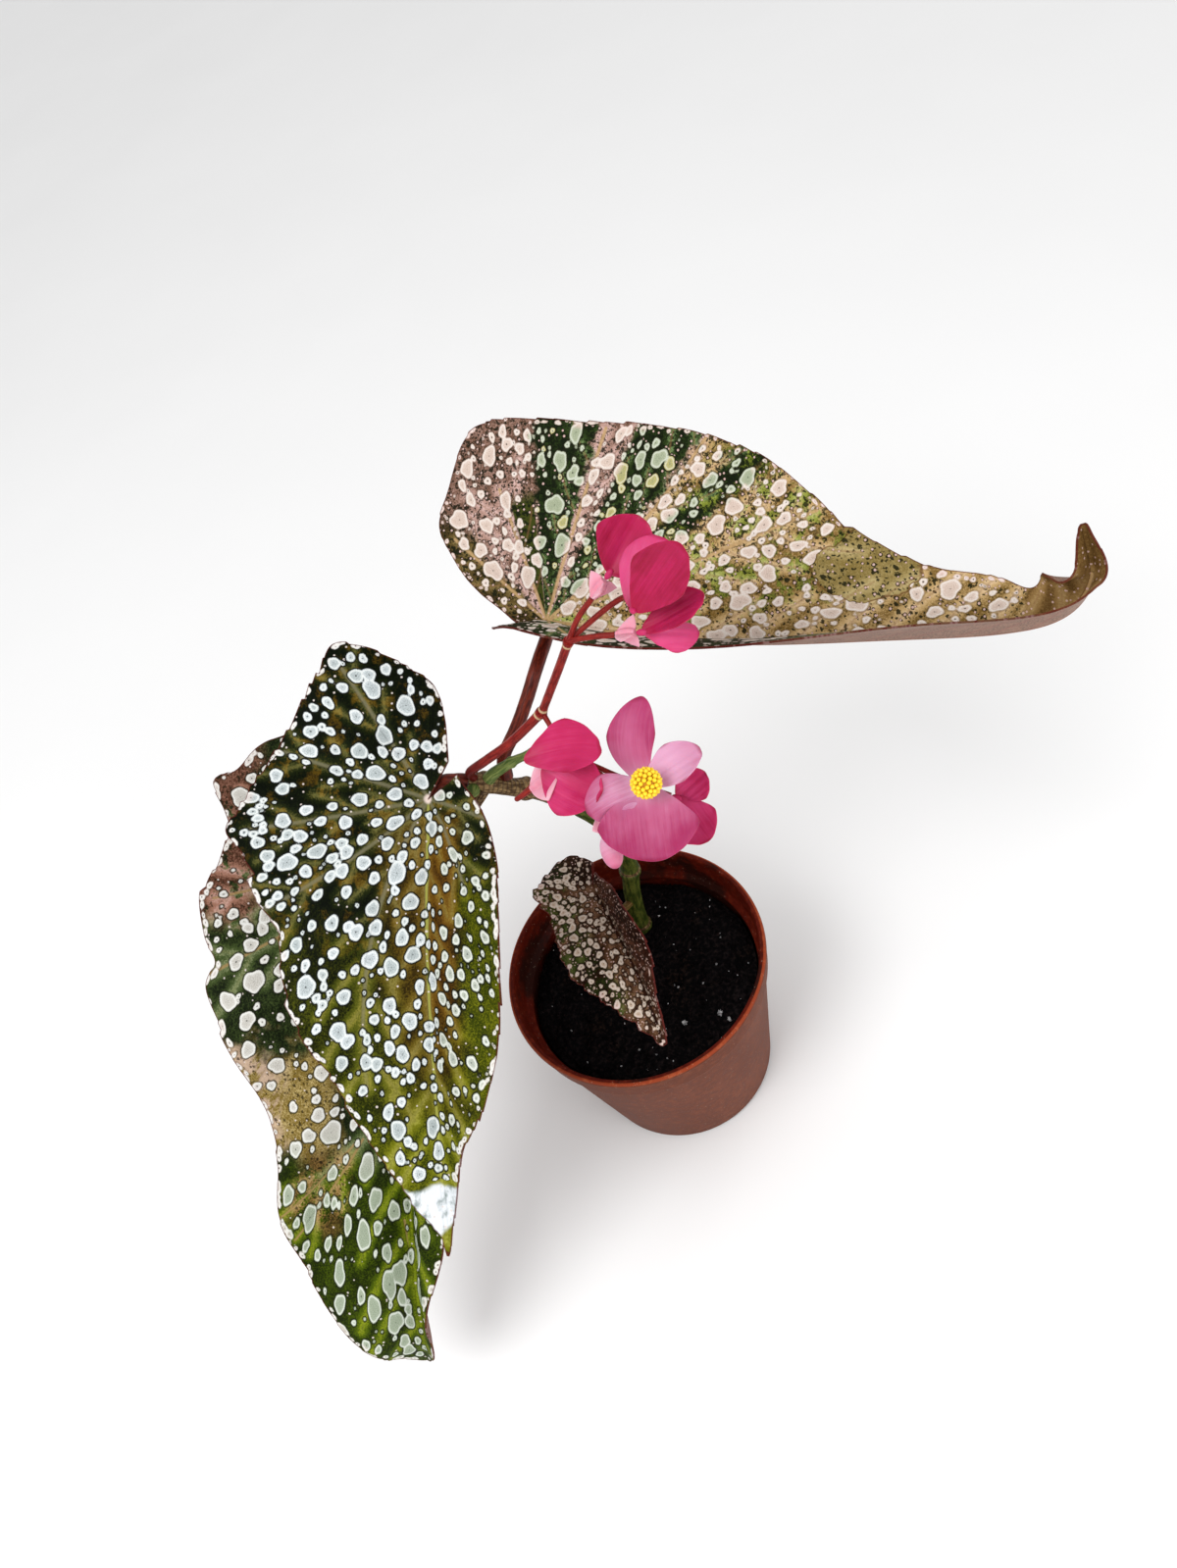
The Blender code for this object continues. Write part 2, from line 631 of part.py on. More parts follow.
def make_leaf_stalks(blades):
    maroon, brown = (0.075, 0.018, 0.012), (0.10, 0.07, 0.03)
    make_leaf_stalk("front", FRONT_STALK, LEAF_STALK_RADIUS, blades["front"], maroon)
    make_leaf_stalk("back", BACK_STALK, LEAF_STALK_RADIUS, blades["back"], maroon)
    make_leaf_stalk("upper", UPPER_STALK, LEAF_STALK_RADIUS, blades["upper"], maroon)
    make_leaf_stalk("small", SMALL_STALK, SMALL_STALK_RADIUS, blades["small"], brown)


def make_flower_stalks():
    stalks = []
    main = off_the_skin(MAIN_STALK, STALK_START["flower"])
    routes = [(main, MAIN_STALK_RADIUS), (FORK_STALK, FORK_STALK_RADIUS)]
    for bloom in BLOOMS.values():
        _, _, end = along_bloom(bloom)
        routes.append((list(bloom["stalk"]) + [end], BLOOM_STALK_RADIUS))
    for route, radius in routes:
        line = smooth(route, 3)
        stalks.append(tube("stalk", line, np.full(len(line), radius), FLOWER_STALK_SIDES))
    fuse("flower_stalks", stalks, material("flower_stalk_skin", (0.36, 0.02, 0.025), 0.4))


# Blooms


def seen(right, up, out):
    return right * np.array(SEEN_RIGHT) + up * np.array(SEEN_UP) + out * np.array(TOWARDS_VIEW)


def tepal(base, angle, tilt, roll, length, width, cup, curl):
    """One petal-like blade.

    It leaves the base at an angle anticlockwise from the seen right and tilts
    towards the viewer. Roll turns its inner face about its length. Cup is the rise
    of its sides in millimetres, and curl the turn along its length in degrees.
    """
    angle, tilt, roll = math.radians(angle), math.radians(tilt), math.radians(roll)
    flat = seen(math.cos(angle), math.sin(angle), 0)
    ahead = math.cos(tilt) * flat + math.sin(tilt) * seen(0, 0, 1)
    inner = math.cos(tilt) * seen(0, 0, 1) - math.sin(tilt) * flat
    side = np.cross(inner, ahead)
    inner, side = inner * math.cos(roll) + side * math.sin(roll), side * math.cos(roll) - inner * math.sin(roll)
    turn = math.radians(curl) / length + 1e-5
    points = []
    for ring in range(TEPAL_RINGS + 1):
        out = ring / TEPAL_RINGS
        for spoke in range(TEPAL_SPOKES if ring else 1):
            round_angle = 2 * math.pi * spoke / TEPAL_SPOKES
            x = length * (0.5 - 0.5 * out * math.cos(round_angle))
            narrowing = 0.62 + 0.38 * min(1, 1.5 * x / length)
            y = 0.5 * width * out * math.sin(round_angle) * narrowing
            along = math.sin(turn * x) / turn
            rise = (1 - math.cos(turn * x)) / turn
            up = math.cos(turn * x) * inner - math.sin(turn * x) * ahead
            edge = cup * (2 * y / width) ** 2
            points.append(np.array(base) + along * ahead + rise * inner + y * side + edge * up)
    points = np.array(points)
    faces = [(0, 1 + j, 1 + (j + 1) % TEPAL_SPOKES) for j in range(TEPAL_SPOKES)]
    for ring in range(TEPAL_RINGS - 1):
        a, b = 1 + ring * TEPAL_SPOKES, 1 + (ring + 1) * TEPAL_SPOKES
        for j in range(TEPAL_SPOKES):
            k = (j + 1) % TEPAL_SPOKES
            faces += [(a + j, b + j, b + k), (a + j, b + k, a + k)]
    faces = np.array(faces)
    normals = vertex_normals(points, faces)
    upper, lower = points + normals * TEPAL / 2, points - normals * TEPAL / 2
    count = len(points)
    rim = 1 + (TEPAL_RINGS - 1) * TEPAL_SPOKES + np.arange(TEPAL_SPOKES)
    solid = [tuple(face) for face in faces] + [tuple(face[::-1] + count) for face in faces]
    for a, b in zip(rim, np.roll(rim, -1)):
        solid += [(a, a + count, b + count), (a, b + count, b)]
    return add_object("tepal", np.vstack([upper, lower]), solid)


def ball(centre, radius, rings=5, sides=8, stretch=(0, 0, 0)):
    """A small closed ball, drawn out along stretch."""
    share = np.linspace(-0.96, 0.96, rings)
    direction = np.array(stretch, float) if np.any(stretch) else np.array((0.0, 0.0, radius))
    line = np.array(centre) + share[:, None] * direction
    return tube("ball", line, radius * np.sqrt(1 - share**2), sides)


def along_bloom(bloom):
    """Upper and lower end of the seed case and the end of the stalk, in line with the last stalk point."""
    base, before = np.array(bloom["base"], float), np.array(bloom["stalk"][-1], float)
    ahead = unit(base - before)
    inside = HUB_RADIUS if "tepals" in bloom else BUD_SIZE[1]
    high = base - ahead * (inside + GAP)
    if "ovary" not in bloom:
        return high, high, high
    low = high - ahead * bloom["ovary"][0]
    return high, low, low - ahead * GAP


def make_tepals(name, base, tepals, colour):
    shapes = [ball(base, HUB_RADIUS)] + [tepal(base, *numbers) for numbers in tepals]
    fuse(name, shapes, material(name + "_skin", colour, 0.5))


def make_ovary(name, low, high, core, wing, turn, colour):
    """The swollen seed case under a bloom, with three wings that widen towards the bloom."""
    share = np.linspace(0, 1, OVARY_RINGS)
    line = low + share[:, None] * (high - low)
    _, across, other = ring_frames(line)
    angle = np.linspace(0, 2 * math.pi, OVARY_SIDES, endpoint=False)
    lobes = (0.5 + 0.5 * np.cos(3 * angle + math.radians(turn))) ** 5
    points = []
    for t, centre, a, b in zip(share, line, across, other):
        body = core * (0.35 + 0.65 * math.sin(math.pi * (0.1 + 0.75 * t)))
        reach = body + wing * lobes * math.sin(math.pi * min(1, 0.05 + 0.85 * t)) ** 0.7
        points.append(centre + np.outer(reach * np.cos(angle), a) + np.outer(reach * np.sin(angle), b))
    case = add_object(name, np.vstack(points), ring_faces(OVARY_RINGS, OVARY_SIDES))
    fuse(name, [case], material(name + "_skin", colour, 0.45))


def make_stamens(name, centre, radius, colour):
    """The ball of stamens, its knobs raised by a formula."""
    sides, rings = 16, 8
    axis, right, up = seen(0, 0, 1), seen(1, 0, 0), seen(0, 1, 0)
    points = []
    for k in range(rings):
        tip = math.pi * (k + 0.6) / rings
        for j in range(sides):
            around = 2 * math.pi * (j + 0.5 * (k % 2)) / sides
            reach = radius * (1 + 0.1 * (-1) ** (j + k))
            flat = reach * math.sin(tip) * (math.cos(around) * right + math.sin(around) * up)
            points.append(np.array(centre) + flat + 0.8 * reach * math.cos(tip) * axis)
    faces = []
    for k in range(rings - 1):
        for j in range(sides):
            a, b = k * sides + j, k * sides + (j + 1) % sides
            faces += [(a, a + sides, b + sides), (a, b + sides, b)]
    faces.append(tuple(range(sides)))
    faces.append(tuple(range((rings - 1) * sides, rings * sides))[::-1])
    fuse(name, [add_object(name, points, faces)], material(name + "_skin", colour, 0.6))


def make_blooms():
    for letter, bloom in BLOOMS.items():
        name = "bloom_" + letter
        high, low, _ = along_bloom(bloom)
        if "tepals" in bloom:
            make_tepals(name + "_tepals", bloom["base"], bloom["tepals"], bloom["colour"])
        else:
            bud = ball(bloom["base"], BUD_SIZE[0], 8, 12, unit(high - low) * BUD_SIZE[1])
            fuse(name + "_bud", [bud], material(name + "_bud_skin", bloom["colour"], 0.3))
        if "ovary" in bloom:
            _, core, wing, turn = bloom["ovary"]
            make_ovary(name + "_ovary", low, high, core, wing, turn, PALE_PINK)
        if "stamens" in bloom:
            make_stamens(name + "_stamens", bloom["stamens"], STAMENS_RADIUS, YELLOW)


for thing in list(bpy.data.objects):
    bpy.data.objects.remove(thing)
leaf_shapes = leaf_blades()
make_pot()
make_soil()
make_cane()
make_leaves(leaf_shapes)
make_leaf_stalks(leaf_shapes)
make_flower_stalks()
make_blooms()
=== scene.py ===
import json
import math

import bmesh
import bpy
import numpy as np
from mathutils import Matrix, Vector
from mathutils.geometry import delaunay_2d_cdt
from mathutils.kdtree import KDTree

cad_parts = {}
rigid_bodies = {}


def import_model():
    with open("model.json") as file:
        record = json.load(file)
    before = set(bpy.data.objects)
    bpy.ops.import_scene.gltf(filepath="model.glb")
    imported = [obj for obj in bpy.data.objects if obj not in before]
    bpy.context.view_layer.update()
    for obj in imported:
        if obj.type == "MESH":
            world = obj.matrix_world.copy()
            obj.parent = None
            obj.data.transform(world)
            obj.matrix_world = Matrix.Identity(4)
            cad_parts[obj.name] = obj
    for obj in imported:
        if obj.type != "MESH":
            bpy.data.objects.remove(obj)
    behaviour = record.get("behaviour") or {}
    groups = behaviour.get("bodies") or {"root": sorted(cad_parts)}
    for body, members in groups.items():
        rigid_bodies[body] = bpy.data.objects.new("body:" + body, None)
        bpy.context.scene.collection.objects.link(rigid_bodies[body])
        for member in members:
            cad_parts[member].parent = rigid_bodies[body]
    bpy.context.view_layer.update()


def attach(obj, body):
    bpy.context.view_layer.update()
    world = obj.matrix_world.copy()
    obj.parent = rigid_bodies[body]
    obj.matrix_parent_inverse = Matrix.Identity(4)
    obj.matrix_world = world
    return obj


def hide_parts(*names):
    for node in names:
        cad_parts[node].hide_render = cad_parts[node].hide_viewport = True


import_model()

METRES = 0.001

# The photograph's camera, in millimetres and degrees
CAMERA_PLACE = (12.5, -215.0, 416.5)
CAMERA_PITCH = 49.2
CAMERA_ROLL = -26.2
CAMERA_LENS = 27.04

# Pot and soil, as in the solids
POT_HEIGHT = 76.0
RIM_RADIUS = 45.0
RIM_BAND = 12.0
RIM_STEP = 1.2
BAND_STEP = 1.1
BAND_SLOPE = 1.2
LIP_HEIGHT = 3.0
LIP_FLARE = 0.6
LIP_WIDTH = 2.3
LIP_ROUND = 0.9
LEDGE_WIDTH = 1.1
LEDGE_DROP = 1.0
LEDGE_SLOPE = 2.5
BASE_RADIUS = 33.4
WALL = 1.4
BASE_THICKNESS = 2.0
BASE_CHAMFER = 1.5
BASE_FILLET = 2.0
DRAIN_COUNT = 6
DRAIN_RADIUS = 3.5
DRAIN_CIRCLE = 23.0
GAP = 0.3
SOIL_TOP = 62.0
SOIL_BUMP = 1.0
SOIL_SLOPE = 0.02
SOIL_EDGE_DROP = 1.5
SOIL_EDGE_GAP = 0.9

# Cane and stalks, as in the solids
CANE_ROUTE = (
    (7, 20, 42), (7, 20, 58), (9, 21, 78), (13, 20, 100), (13, 17, 122),
    (7, 14, 143), (-1, 12, 160), (-8, 10, 170), (-13, 10, 175.5), (-17.5, 11, 178.5),
)
CANE_RADIUS = 3.1
CANE_TIP_RADIUS = 2.6
CANE_NODES = (0.14, 0.36, 0.58, 0.75, 0.87, 0.97)
NODE_SWELL = 0.9
NODE_WIDTH = 2.2
SHOOT_ROUTE = ((-13, 10, 176), (-9, 7, 181), (-3, 4, 185), (1, 2, 187), (4, 0, 190))
SHOOT_RADIUS = 2.0
SHOOT_TIP_RADIUS = 0.9
BUD_ROUTE = ((-16.5, 9, 177.5), (-17.6, 5, 178.8))
BUD_RADIUS = 1.9
STUB_ROUTE = ((-13, 10, 175), (-19, 9.5, 170.5), (-23, 11, 167))
STUB_RADIUS = 1.9
LEAF_STALK_RADIUS = 1.9
SMALL_STALK_RADIUS = 1.2
FRONT_STALK = ((-17.5, 11, 178.5), (-20, 11.6, 180.2), (-24.5, 14.2, 179.5))
BACK_STALK = ((-23, 11, 167), (-25.9, 12.1, 164.5), (-34, 22, 151))
UPPER_STALK = ((-8.5, 10, 171), (-5.2, 12, 180), (1, 13.5, 185.7), (7, 15.8, 191.3), (14, 20.5, 197))
SMALL_STALK = ((9, 21, 77), (4, 17, 81), (1, 16, 89), (-1, 15, 97))
STALK_LEAD = 4.0
MAIN_STALK = ((-15.5, 10.5, 177.5), (-15, 8.5, 184), (-9, 5, 189), (-1, 2, 194), (10, -3, 204))
FORK_STALK = ((10, -3, 204), (17, -8, 218), (23, -13, 231))
MAIN_STALK_RADIUS = 1.3
FORK_STALK_RADIUS = 1.1
BLOOM_STALK_RADIUS = 0.7

# Leaves, as in the solids: spine in space, outline on the flat blade as (along, across)
BLADE = 0.55
LEAF_SPACING = 0.6
SEEN_RIGHT = (0.897, -0.334, -0.288)
SEEN_UP = (0.441, 0.679, 0.586)
TOWARDS_VIEW = (0.0, -0.653, 0.757)
FRONT_SPINE = ((-29, 10, 180), (-46, -20, 161), (-63, -49, 134), (-80, -77, 104))
FRONT_OUTLINE = (
    (-10, -6), (-25, -4), (-34, 0), (-39, 8), (-44, 19), (-44, 28), (-35, 32), (-23, 38),
    (-11, 45), (3, 52), (10, 55), (16, 51), (28, 46), (36, 41), (48, 40), (60, 36), (76, 28),
    (94, 19), (111, 9), (118, 4.5), (123, 1.6), (129, 0), (122, -1.8), (113, -3.6), (98, -8), (89, -14),
    (78, -18), (64, -22), (48, -25), (36, -26), (25, -25), (13, -22), (3, -18), (-6, -11),
)
BACK_SPINE = (
    (-43, 20, 150), (-64, -3, 125), (-86, -31, 92), (-103, -57, 64), (-113, -71, 43), (-117, -73, 32),
)
BACK_OUTLINE = (
    (-9, -5), (-20, 0), (-31, 12), (-36, 30), (-32, 43), (-28, 50), (-21, 56), (-16, 63),
    (-8, 59), (-2, 57), (8, 59), (18, 63), (30, 62), (37, 59), (44, 61), (56, 55), (74, 46),
    (86, 42), (98, 40), (112, 40), (127, 35), (141, 30), (152, 24), (162, 16), (170, 8), (174, 0),
    (164, -5), (148, -11), (125, -18), (100, -23), (70, -28), (40, -30), (20, -28), (5, -22), (-6, -13),
)
UPPER_SPINE = (
    (22, 32, 200), (40, 17, 196), (66, 1, 190), (98, -14, 184), (126, -25, 178),
    (141, -29, 178), (150, -27, 184), (151, -22, 196),
)
UPPER_OUTLINE = (
    (-5, -4), (-14, 1), (-22, 5), (-30, 11), (-39, 22), (-38, 33), (-36, 46), (-31, 52),
    (-20, 54), (-6, 55), (10, 56), (25, 56), (40, 55), (57, 50), (66, 45), (76, 37), (83, 30),
    (92, 24), (105, 18), (120, 15), (131, 10), (140, 12), (148, 12), (155, 7), (164, 0), (156, -5),
    (145, -8), (120, -12), (95, -20), (70, -26), (45, -29), (25, -28), (8, -23), (-6, -17), (-13, -8),
)
SMALL_SPINE = ((-1, 13, 104), (0, -19, 99), (-2, -42, 88))
SMALL_OUTLINE = (
    (-8, -4), (-13, -1), (-16, 4), (-13, 12), (-6, 20), (3, 18), (16, 20), (27, 20), (33, 17),
    (38, 14), (46, 9), (54, 3), (58, 0), (52, -3), (42, -6), (32, -11), (22, -13), (11, -11), (3, -8), (-4, -4),
)

# Main veins of each leaf: degrees from the midrib, bend in degrees per 100 mm, where it starts and ends in millimetres
FRONT_VEINS = (
    (0, 0, 0, 124), (146, 0, 0, 44), (107, 2, 0, 42), (77, 4, 0, 50), (46, 18, 0, 60), (30, -21, 0, 80),
    (-38, 30, 0, 30), (-75, 20, 0, 22), (-130, 0, 0, 14),
)
BACK_VEINS = (
    (0, 0, 0, 165), (95, 0, 0, 58), (49, 10, 0, 75), (-24, 37, 92, 118), (-13, 24, 90, 124), (8, -6, 116, 132), (72, 0, 0, 62),
    (-40, 20, 0, 40), (-80, 0, 0, 26),
)
UPPER_VEINS = (
    (0, 0, 0, 150), (121, 2, 0, 40), (83, 0, 0, 54), (49, 6, 0, 68), (31, -8, 0, 82), (150, 0, 0, 38), (-60, 20, 0, 30),
)
SMALL_VEINS = ((0, 0, 0, 52), (95, 0, 0, 22), (48, 0, 0, 28), (-60, 0, 0, 14))

# Blooms, as in the solids
TEPAL = 0.45
HUB_RADIUS = 1.5
STAMENS_RADIUS = 4.0
BUD_SIZE = (2.7, 4.8)
# Each tepal: heading, tilt, roll, length, width, cup, curl, lean, tone and where it starts, as seen
BLOOMS = {
    "a": {
        "stalk": ((23, -13, 231), (27, -13.5, 236.5)),
        "base": (37.1, -14.3, 244.8),
        "ovary": (5.0, 1.5, 4.6, 20),
        "tepals": (
            (40, -8, 200, 15, 13, 1.5, 15, 0, 0.45, (0, 0, 0)),
            (58, 10, 0, 14.5, 14.5, 3.0, 26, -1.5, 0.15, (0, 0, 0.3)),
        ),
    },
    "b": {
        "stalk": ((23, -13, 231), (33, -14.5, 236), (38.3, -17, 239)),
        "base": (37.8, -25.6, 242.4),
        "tepals": (
            (70, 8, 190, 17.0, 15.5, 1.0, 10, -2.5, 0.6, (0, 0, 0)),
            (52, 26, 0, 20.5, 13.5, 3.2, 34, -1.5, 0.1, (0.5, -0.5, 0.5)),
        ),
    },
    "c": {
        "stalk": ((23, -13, 231), (28, -18.5, 234)),
        "base": (38.0, -25.8, 235.4),
        "ovary": (4.6, 1.5, 5.0, 40),
        "tepals": (
            (8, -8, 205, 13.8, 10, 2.5, 25, 1.0, 0.55, (0, 0, 0)),
            (20, 22, 20, 17.5, 9.5, 2.8, 28, -2.0, 0.15, (0, 0.3, 0.3)),
        ),
    },
    "d": {
        "stalk": ((10, -3, 204), (10, -8, 200), (6, -11, 195), (-1, -13.5, 192), (-5.5, -16, 193)),
        "base": (8.4, -21.5, 201.8),
        "ovary": (9.5, 2.0, 6.0, -45),
        "tepals": (
            (-28, 10, 0, 17.5, 16.5, 3.0, 26, 2.0, 0.4, (-5.0, 0.4, -0.4)),
            (5, 14, 8, 22.5, 13.5, 3.2, 34, -7.0, 0.3, (-9.4, 2.2, 0.8)),
        ),
    },
    "e": {
        "stalk": ((10, -8, 200), (13, -12, 192), (19, -21, 187)),
        "base": (24.6, -32, 195),
        "tepals": (
            (94, 12, 0, 22.5, 12.0, 1.8, 16, -11.0, 0.5, (0, 0, 0)),
            (32, 16, 14, 17, 10.5, 2.4, 14, -1.0, 1.15, (0, 0, 0.4)),
            (205, 14, 0, 16.5, 12.5, 1.2, 12, 3.0, 0.82, (0, 0, 0.2)),
            (-85, 14, 0, 20.5, 25, 3.4, 26, 0.8, 0.52, (0, 0, 0.5)),
        ),
        "stamens": (24.9, -36.6, 200.9),
    },
    "f": {
        "stalk": ((13, -12, 192), (22, -19, 184)),
        "base": (31.2, -29, 181),
        "tepals": (
            (42, 10, 0, 10, 10, 2.0, 20, 0, 0.42, (0, 0, 0)),
            (-58, 15, 0, 14.5, 13, 2.0, 20, 0, 0.48, (0, 0, 0)),
        ),
    },
    "g": {
        "stalk": ((13, -12, 192), (13, -22, 190)),
        "base": (10.3, -38.5, 185.6),
        "ovary": (5.0, 1.4, 1.8, 0),
    },
}


# Curves and vectors


def unit(vector):
    vector = np.asarray(vector, float)
    return vector / np.linalg.norm(vector, axis=-1, keepdims=True)


def smooth(points, steps):
    """A Catmull-Rom curve through the points, with steps spans between two of them."""
    points = np.asarray(points, float)
    first, last = 2 * points[0] - points[1], 2 * points[-1] - points[-2]
    ends = np.vstack([first, points, last])
    t = np.linspace(0, 1, steps, endpoint=False)[:, None]
    runs = []
    for a, b, c, d in zip(ends, ends[1:], ends[2:], ends[3:]):
        cubic = -a + 3 * b - 3 * c + d
        runs.append(0.5 * (2 * b + (c - a) * t + (2 * a - 5 * b + 4 * c - d) * t**2 + cubic * t**3))
    return np.vstack(runs + [points[-1:]])


def distances(line):
    steps = np.linalg.norm(np.diff(line, axis=0), axis=1)
    return np.concatenate([[0], np.cumsum(steps)])


def resample(line, count):
    at = distances(line)
    places = np.linspace(0, at[-1], count)
    return np.stack([np.interp(places, at, line[:, k]) for k in range(line.shape[1])], axis=-1)


def waves(points, scale, seed, octaves=3):
    """Smooth random values from about -1 to 1 over points, as a sum of turned sine waves."""
    rng = np.random.default_rng(seed)
    points = np.asarray(points, float)
    total = np.zeros(points.shape[:-1])
    for octave in range(octaves):
        for _ in range(4):
            direction = unit(rng.normal(size=points.shape[-1])) * 2 * math.pi * 2**octave / scale
            total += np.sin(points @ direction + rng.uniform(0, 2 * math.pi)) / 2**octave
    return total / 4


# Materials


def srgb(red, green, blue):
    """A colour given in the 0 to 255 of a screen, as the linear values that a shader takes."""
    values = np.array([red, green, blue]) / 255
    linear = np.where(values <= 0.04045, values / 12.92, ((values + 0.055) / 1.055) ** 2.4)
    return tuple(float(v) for v in linear)


class Value:
    """A number in a material's node tree, which takes part in arithmetic."""

    def __init__(self, paint, socket):
        self.paint = paint
        self.socket = socket

    def __add__(self, other):
        return self.paint.math("ADD", self, other)

    def __radd__(self, other):
        return self.paint.math("ADD", other, self)

    def __sub__(self, other):
        return self.paint.math("SUBTRACT", self, other)

    def __rsub__(self, other):
        return self.paint.math("SUBTRACT", other, self)

    def __mul__(self, other):
        return self.paint.math("MULTIPLY", self, other)

    def __rmul__(self, other):
        return self.paint.math("MULTIPLY", other, self)

    def __truediv__(self, other):
        return self.paint.math("DIVIDE", self, other)

    def __pow__(self, other):
        return self.paint.math("POWER", self, other)

    def __abs__(self):
        return self.paint.math("ABSOLUTE", self)

    def least(self, other):
        return self.paint.math("MINIMUM", self, other)

    def most(self, other):
        return self.paint.math("MAXIMUM", self, other)

    def above(self, low, high):
        """0 under low, 1 over high, and smooth between them."""
        return self.paint.ramp(self, low, high)

    def below(self, low, high):
        return 1 - self.paint.ramp(self, low, high)


class Paint:
    """A material whose node tree is written as arithmetic."""

    def __init__(self, name, roughness=0.5, specular=0.5):
        self.material = bpy.data.materials.new(name)
        self.material.use_nodes = True
        self.tree = self.material.node_tree
        self.shader = self.tree.nodes["Principled BSDF"]
        self.shader.inputs["Roughness"].default_value = roughness
        self.shader.inputs["Specular IOR Level"].default_value = specular

    def put(self, socket, value):
        if isinstance(value, Value):
            self.tree.links.new(value.socket, socket)
        elif isinstance(value, bpy.types.NodeSocket):
            self.tree.links.new(value, socket)
        elif isinstance(value, tuple) and len(value) == 3 and socket.type == "RGBA":
            socket.default_value = (*value, 1)
        else:
            socket.default_value = value

    def node(self, kind, **settings):
        made = self.tree.nodes.new(kind)
        for key, value in settings.items():
            setattr(made, key, value)
        return made

    def math(self, operation, *numbers):
        made = self.node("ShaderNodeMath", operation=operation)
        for socket, number in zip(made.inputs, numbers):
            self.put(socket, number)
        return Value(self, made.outputs[0])

    def ramp(self, value, low, high):
        made = self.node("ShaderNodeMapRange", interpolation_type="SMOOTHSTEP", clamp=True)
        self.put(made.inputs["Value"], value)
        self.put(made.inputs["From Min"], low)
        self.put(made.inputs["From Max"], high)
        return Value(self, made.outputs["Result"])

    def attribute(self, name):
        made = self.node("ShaderNodeAttribute", attribute_name=name)
        split = self.node("ShaderNodeSeparateXYZ")
        self.tree.links.new(made.outputs["Vector"], split.inputs[0])
        return [Value(self, socket) for socket in split.outputs]

    def vector(self, x, y, z=0.0):
        made = self.node("ShaderNodeCombineXYZ")
        for socket, value in zip(made.inputs, (x, y, z)):
            self.put(socket, value)
        return made.outputs[0]

    def place(self):
        """The point on the object, in metres."""
        return self.node("ShaderNodeTexCoord").outputs["Object"]

    def noise(self, vector, scale, detail=3.0, roughness=0.55, distortion=0.0):
        made = self.node("ShaderNodeTexNoise")
        self.put(made.inputs["Vector"], vector)
        made.inputs["Scale"].default_value = scale
        made.inputs["Detail"].default_value = detail
        made.inputs["Roughness"].default_value = roughness
        made.inputs["Distortion"].default_value = distortion
        return Value(self, made.outputs["Fac"])

    def cells(self, vector, scale, randomness=1.0):
        """Distance to the nearest cell's centre and three random numbers of that cell."""
        made = self.node("ShaderNodeTexVoronoi", voronoi_dimensions="2D")
        self.put(made.inputs["Vector"], vector)
        made.inputs["Scale"].default_value = scale
        made.inputs["Randomness"].default_value = randomness
        split = self.node("ShaderNodeSeparateColor")
        self.tree.links.new(made.outputs["Color"], split.inputs[0])
        return Value(self, made.outputs["Distance"]), [Value(self, s) for s in split.outputs]

    def mix(self, first, second, share):
        made = self.node("ShaderNodeMix", data_type="RGBA")
        self.put(made.inputs[0], share)
        self.put(made.inputs[6], first)
        self.put(made.inputs[7], second)
        return made.outputs[2]

    def finish(self, colour, height=None, strength=0.3, distance=0.0005, roughness=None):
        self.put(self.shader.inputs["Base Color"], colour)
        if roughness is not None:
            self.put(self.shader.inputs["Roughness"], roughness)
        if height is not None:
            bump = self.node("ShaderNodeBump")
            bump.inputs["Strength"].default_value = strength
            bump.inputs["Distance"].default_value = distance
            self.put(bump.inputs["Height"], height)
            self.tree.links.new(bump.outputs[0], self.shader.inputs["Normal"])
        return self.material


# Meshes


def add_object(name, points, faces, materials, attributes=None, face_material=None):
    mesh = bpy.data.meshes.new(name)
    mesh.from_pydata((np.asarray(points) * METRES).tolist(), [], faces)
    for key, values in (attributes or {}).items():
        made = mesh.attributes.new(key, "FLOAT_VECTOR", "POINT")
        made.data.foreach_set("vector", np.asarray(values, np.float32).ravel())
    for made_of in materials:
        mesh.materials.append(made_of)
    if face_material is not None:
        mesh.polygons.foreach_set("material_index", np.asarray(face_material, np.int32))
    mesh.update()
    thing = bpy.data.objects.new(name, mesh)
    bpy.context.scene.collection.objects.link(thing)
    return thing


def finish(thing, nodes, angle=50, turn_outwards=True):
    if turn_outwards:
        shape = bmesh.new()
        shape.from_mesh(thing.data)
        bmesh.ops.recalc_face_normals(shape, faces=shape.faces)
        shape.to_mesh(thing.data)
        shape.free()
    thing.data.shade_smooth()
    thing.data.set_sharp_from_angle(angle=math.radians(angle))
    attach(thing, "root")
    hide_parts(*nodes)
    return thing


def join(name, pieces):
    """One mesh from several, each given as (points, faces, values)."""
    points, faces, values, start = [], [], [], 0
    for piece_points, piece_faces, piece_values in pieces:
        points.append(piece_points)
        values.append(piece_values)
        faces += [tuple(int(k) + start for k in face) for face in piece_faces]
        start += len(piece_points)
    return np.vstack(points), faces, np.vstack(values)


def ring_frames(line):
    """Directions across a line at each of its points, carried along without a twist."""
    tangent = unit(np.gradient(line, axis=0))
    across = [unit(np.cross(tangent[0], (0.31, 0.17, 0.93)))]
    for direction in tangent[1:]:
        carried = across[-1] - direction * (across[-1] @ direction)
        across.append(unit(carried))
    across = np.array(across)
    return tangent, across, np.cross(tangent, across)


def ring_faces(rings, sides):
    faces = []
    for k in range(rings - 1):
        low, high = k * sides, (k + 1) * sides
        for j in range(sides):
            after = (j + 1) % sides
            faces.append((low + j, low + after, high + after, high + j))
    faces.append(tuple(range(sides))[::-1])
    faces.append(tuple(range((rings - 1) * sides, rings * sides)))
    return faces


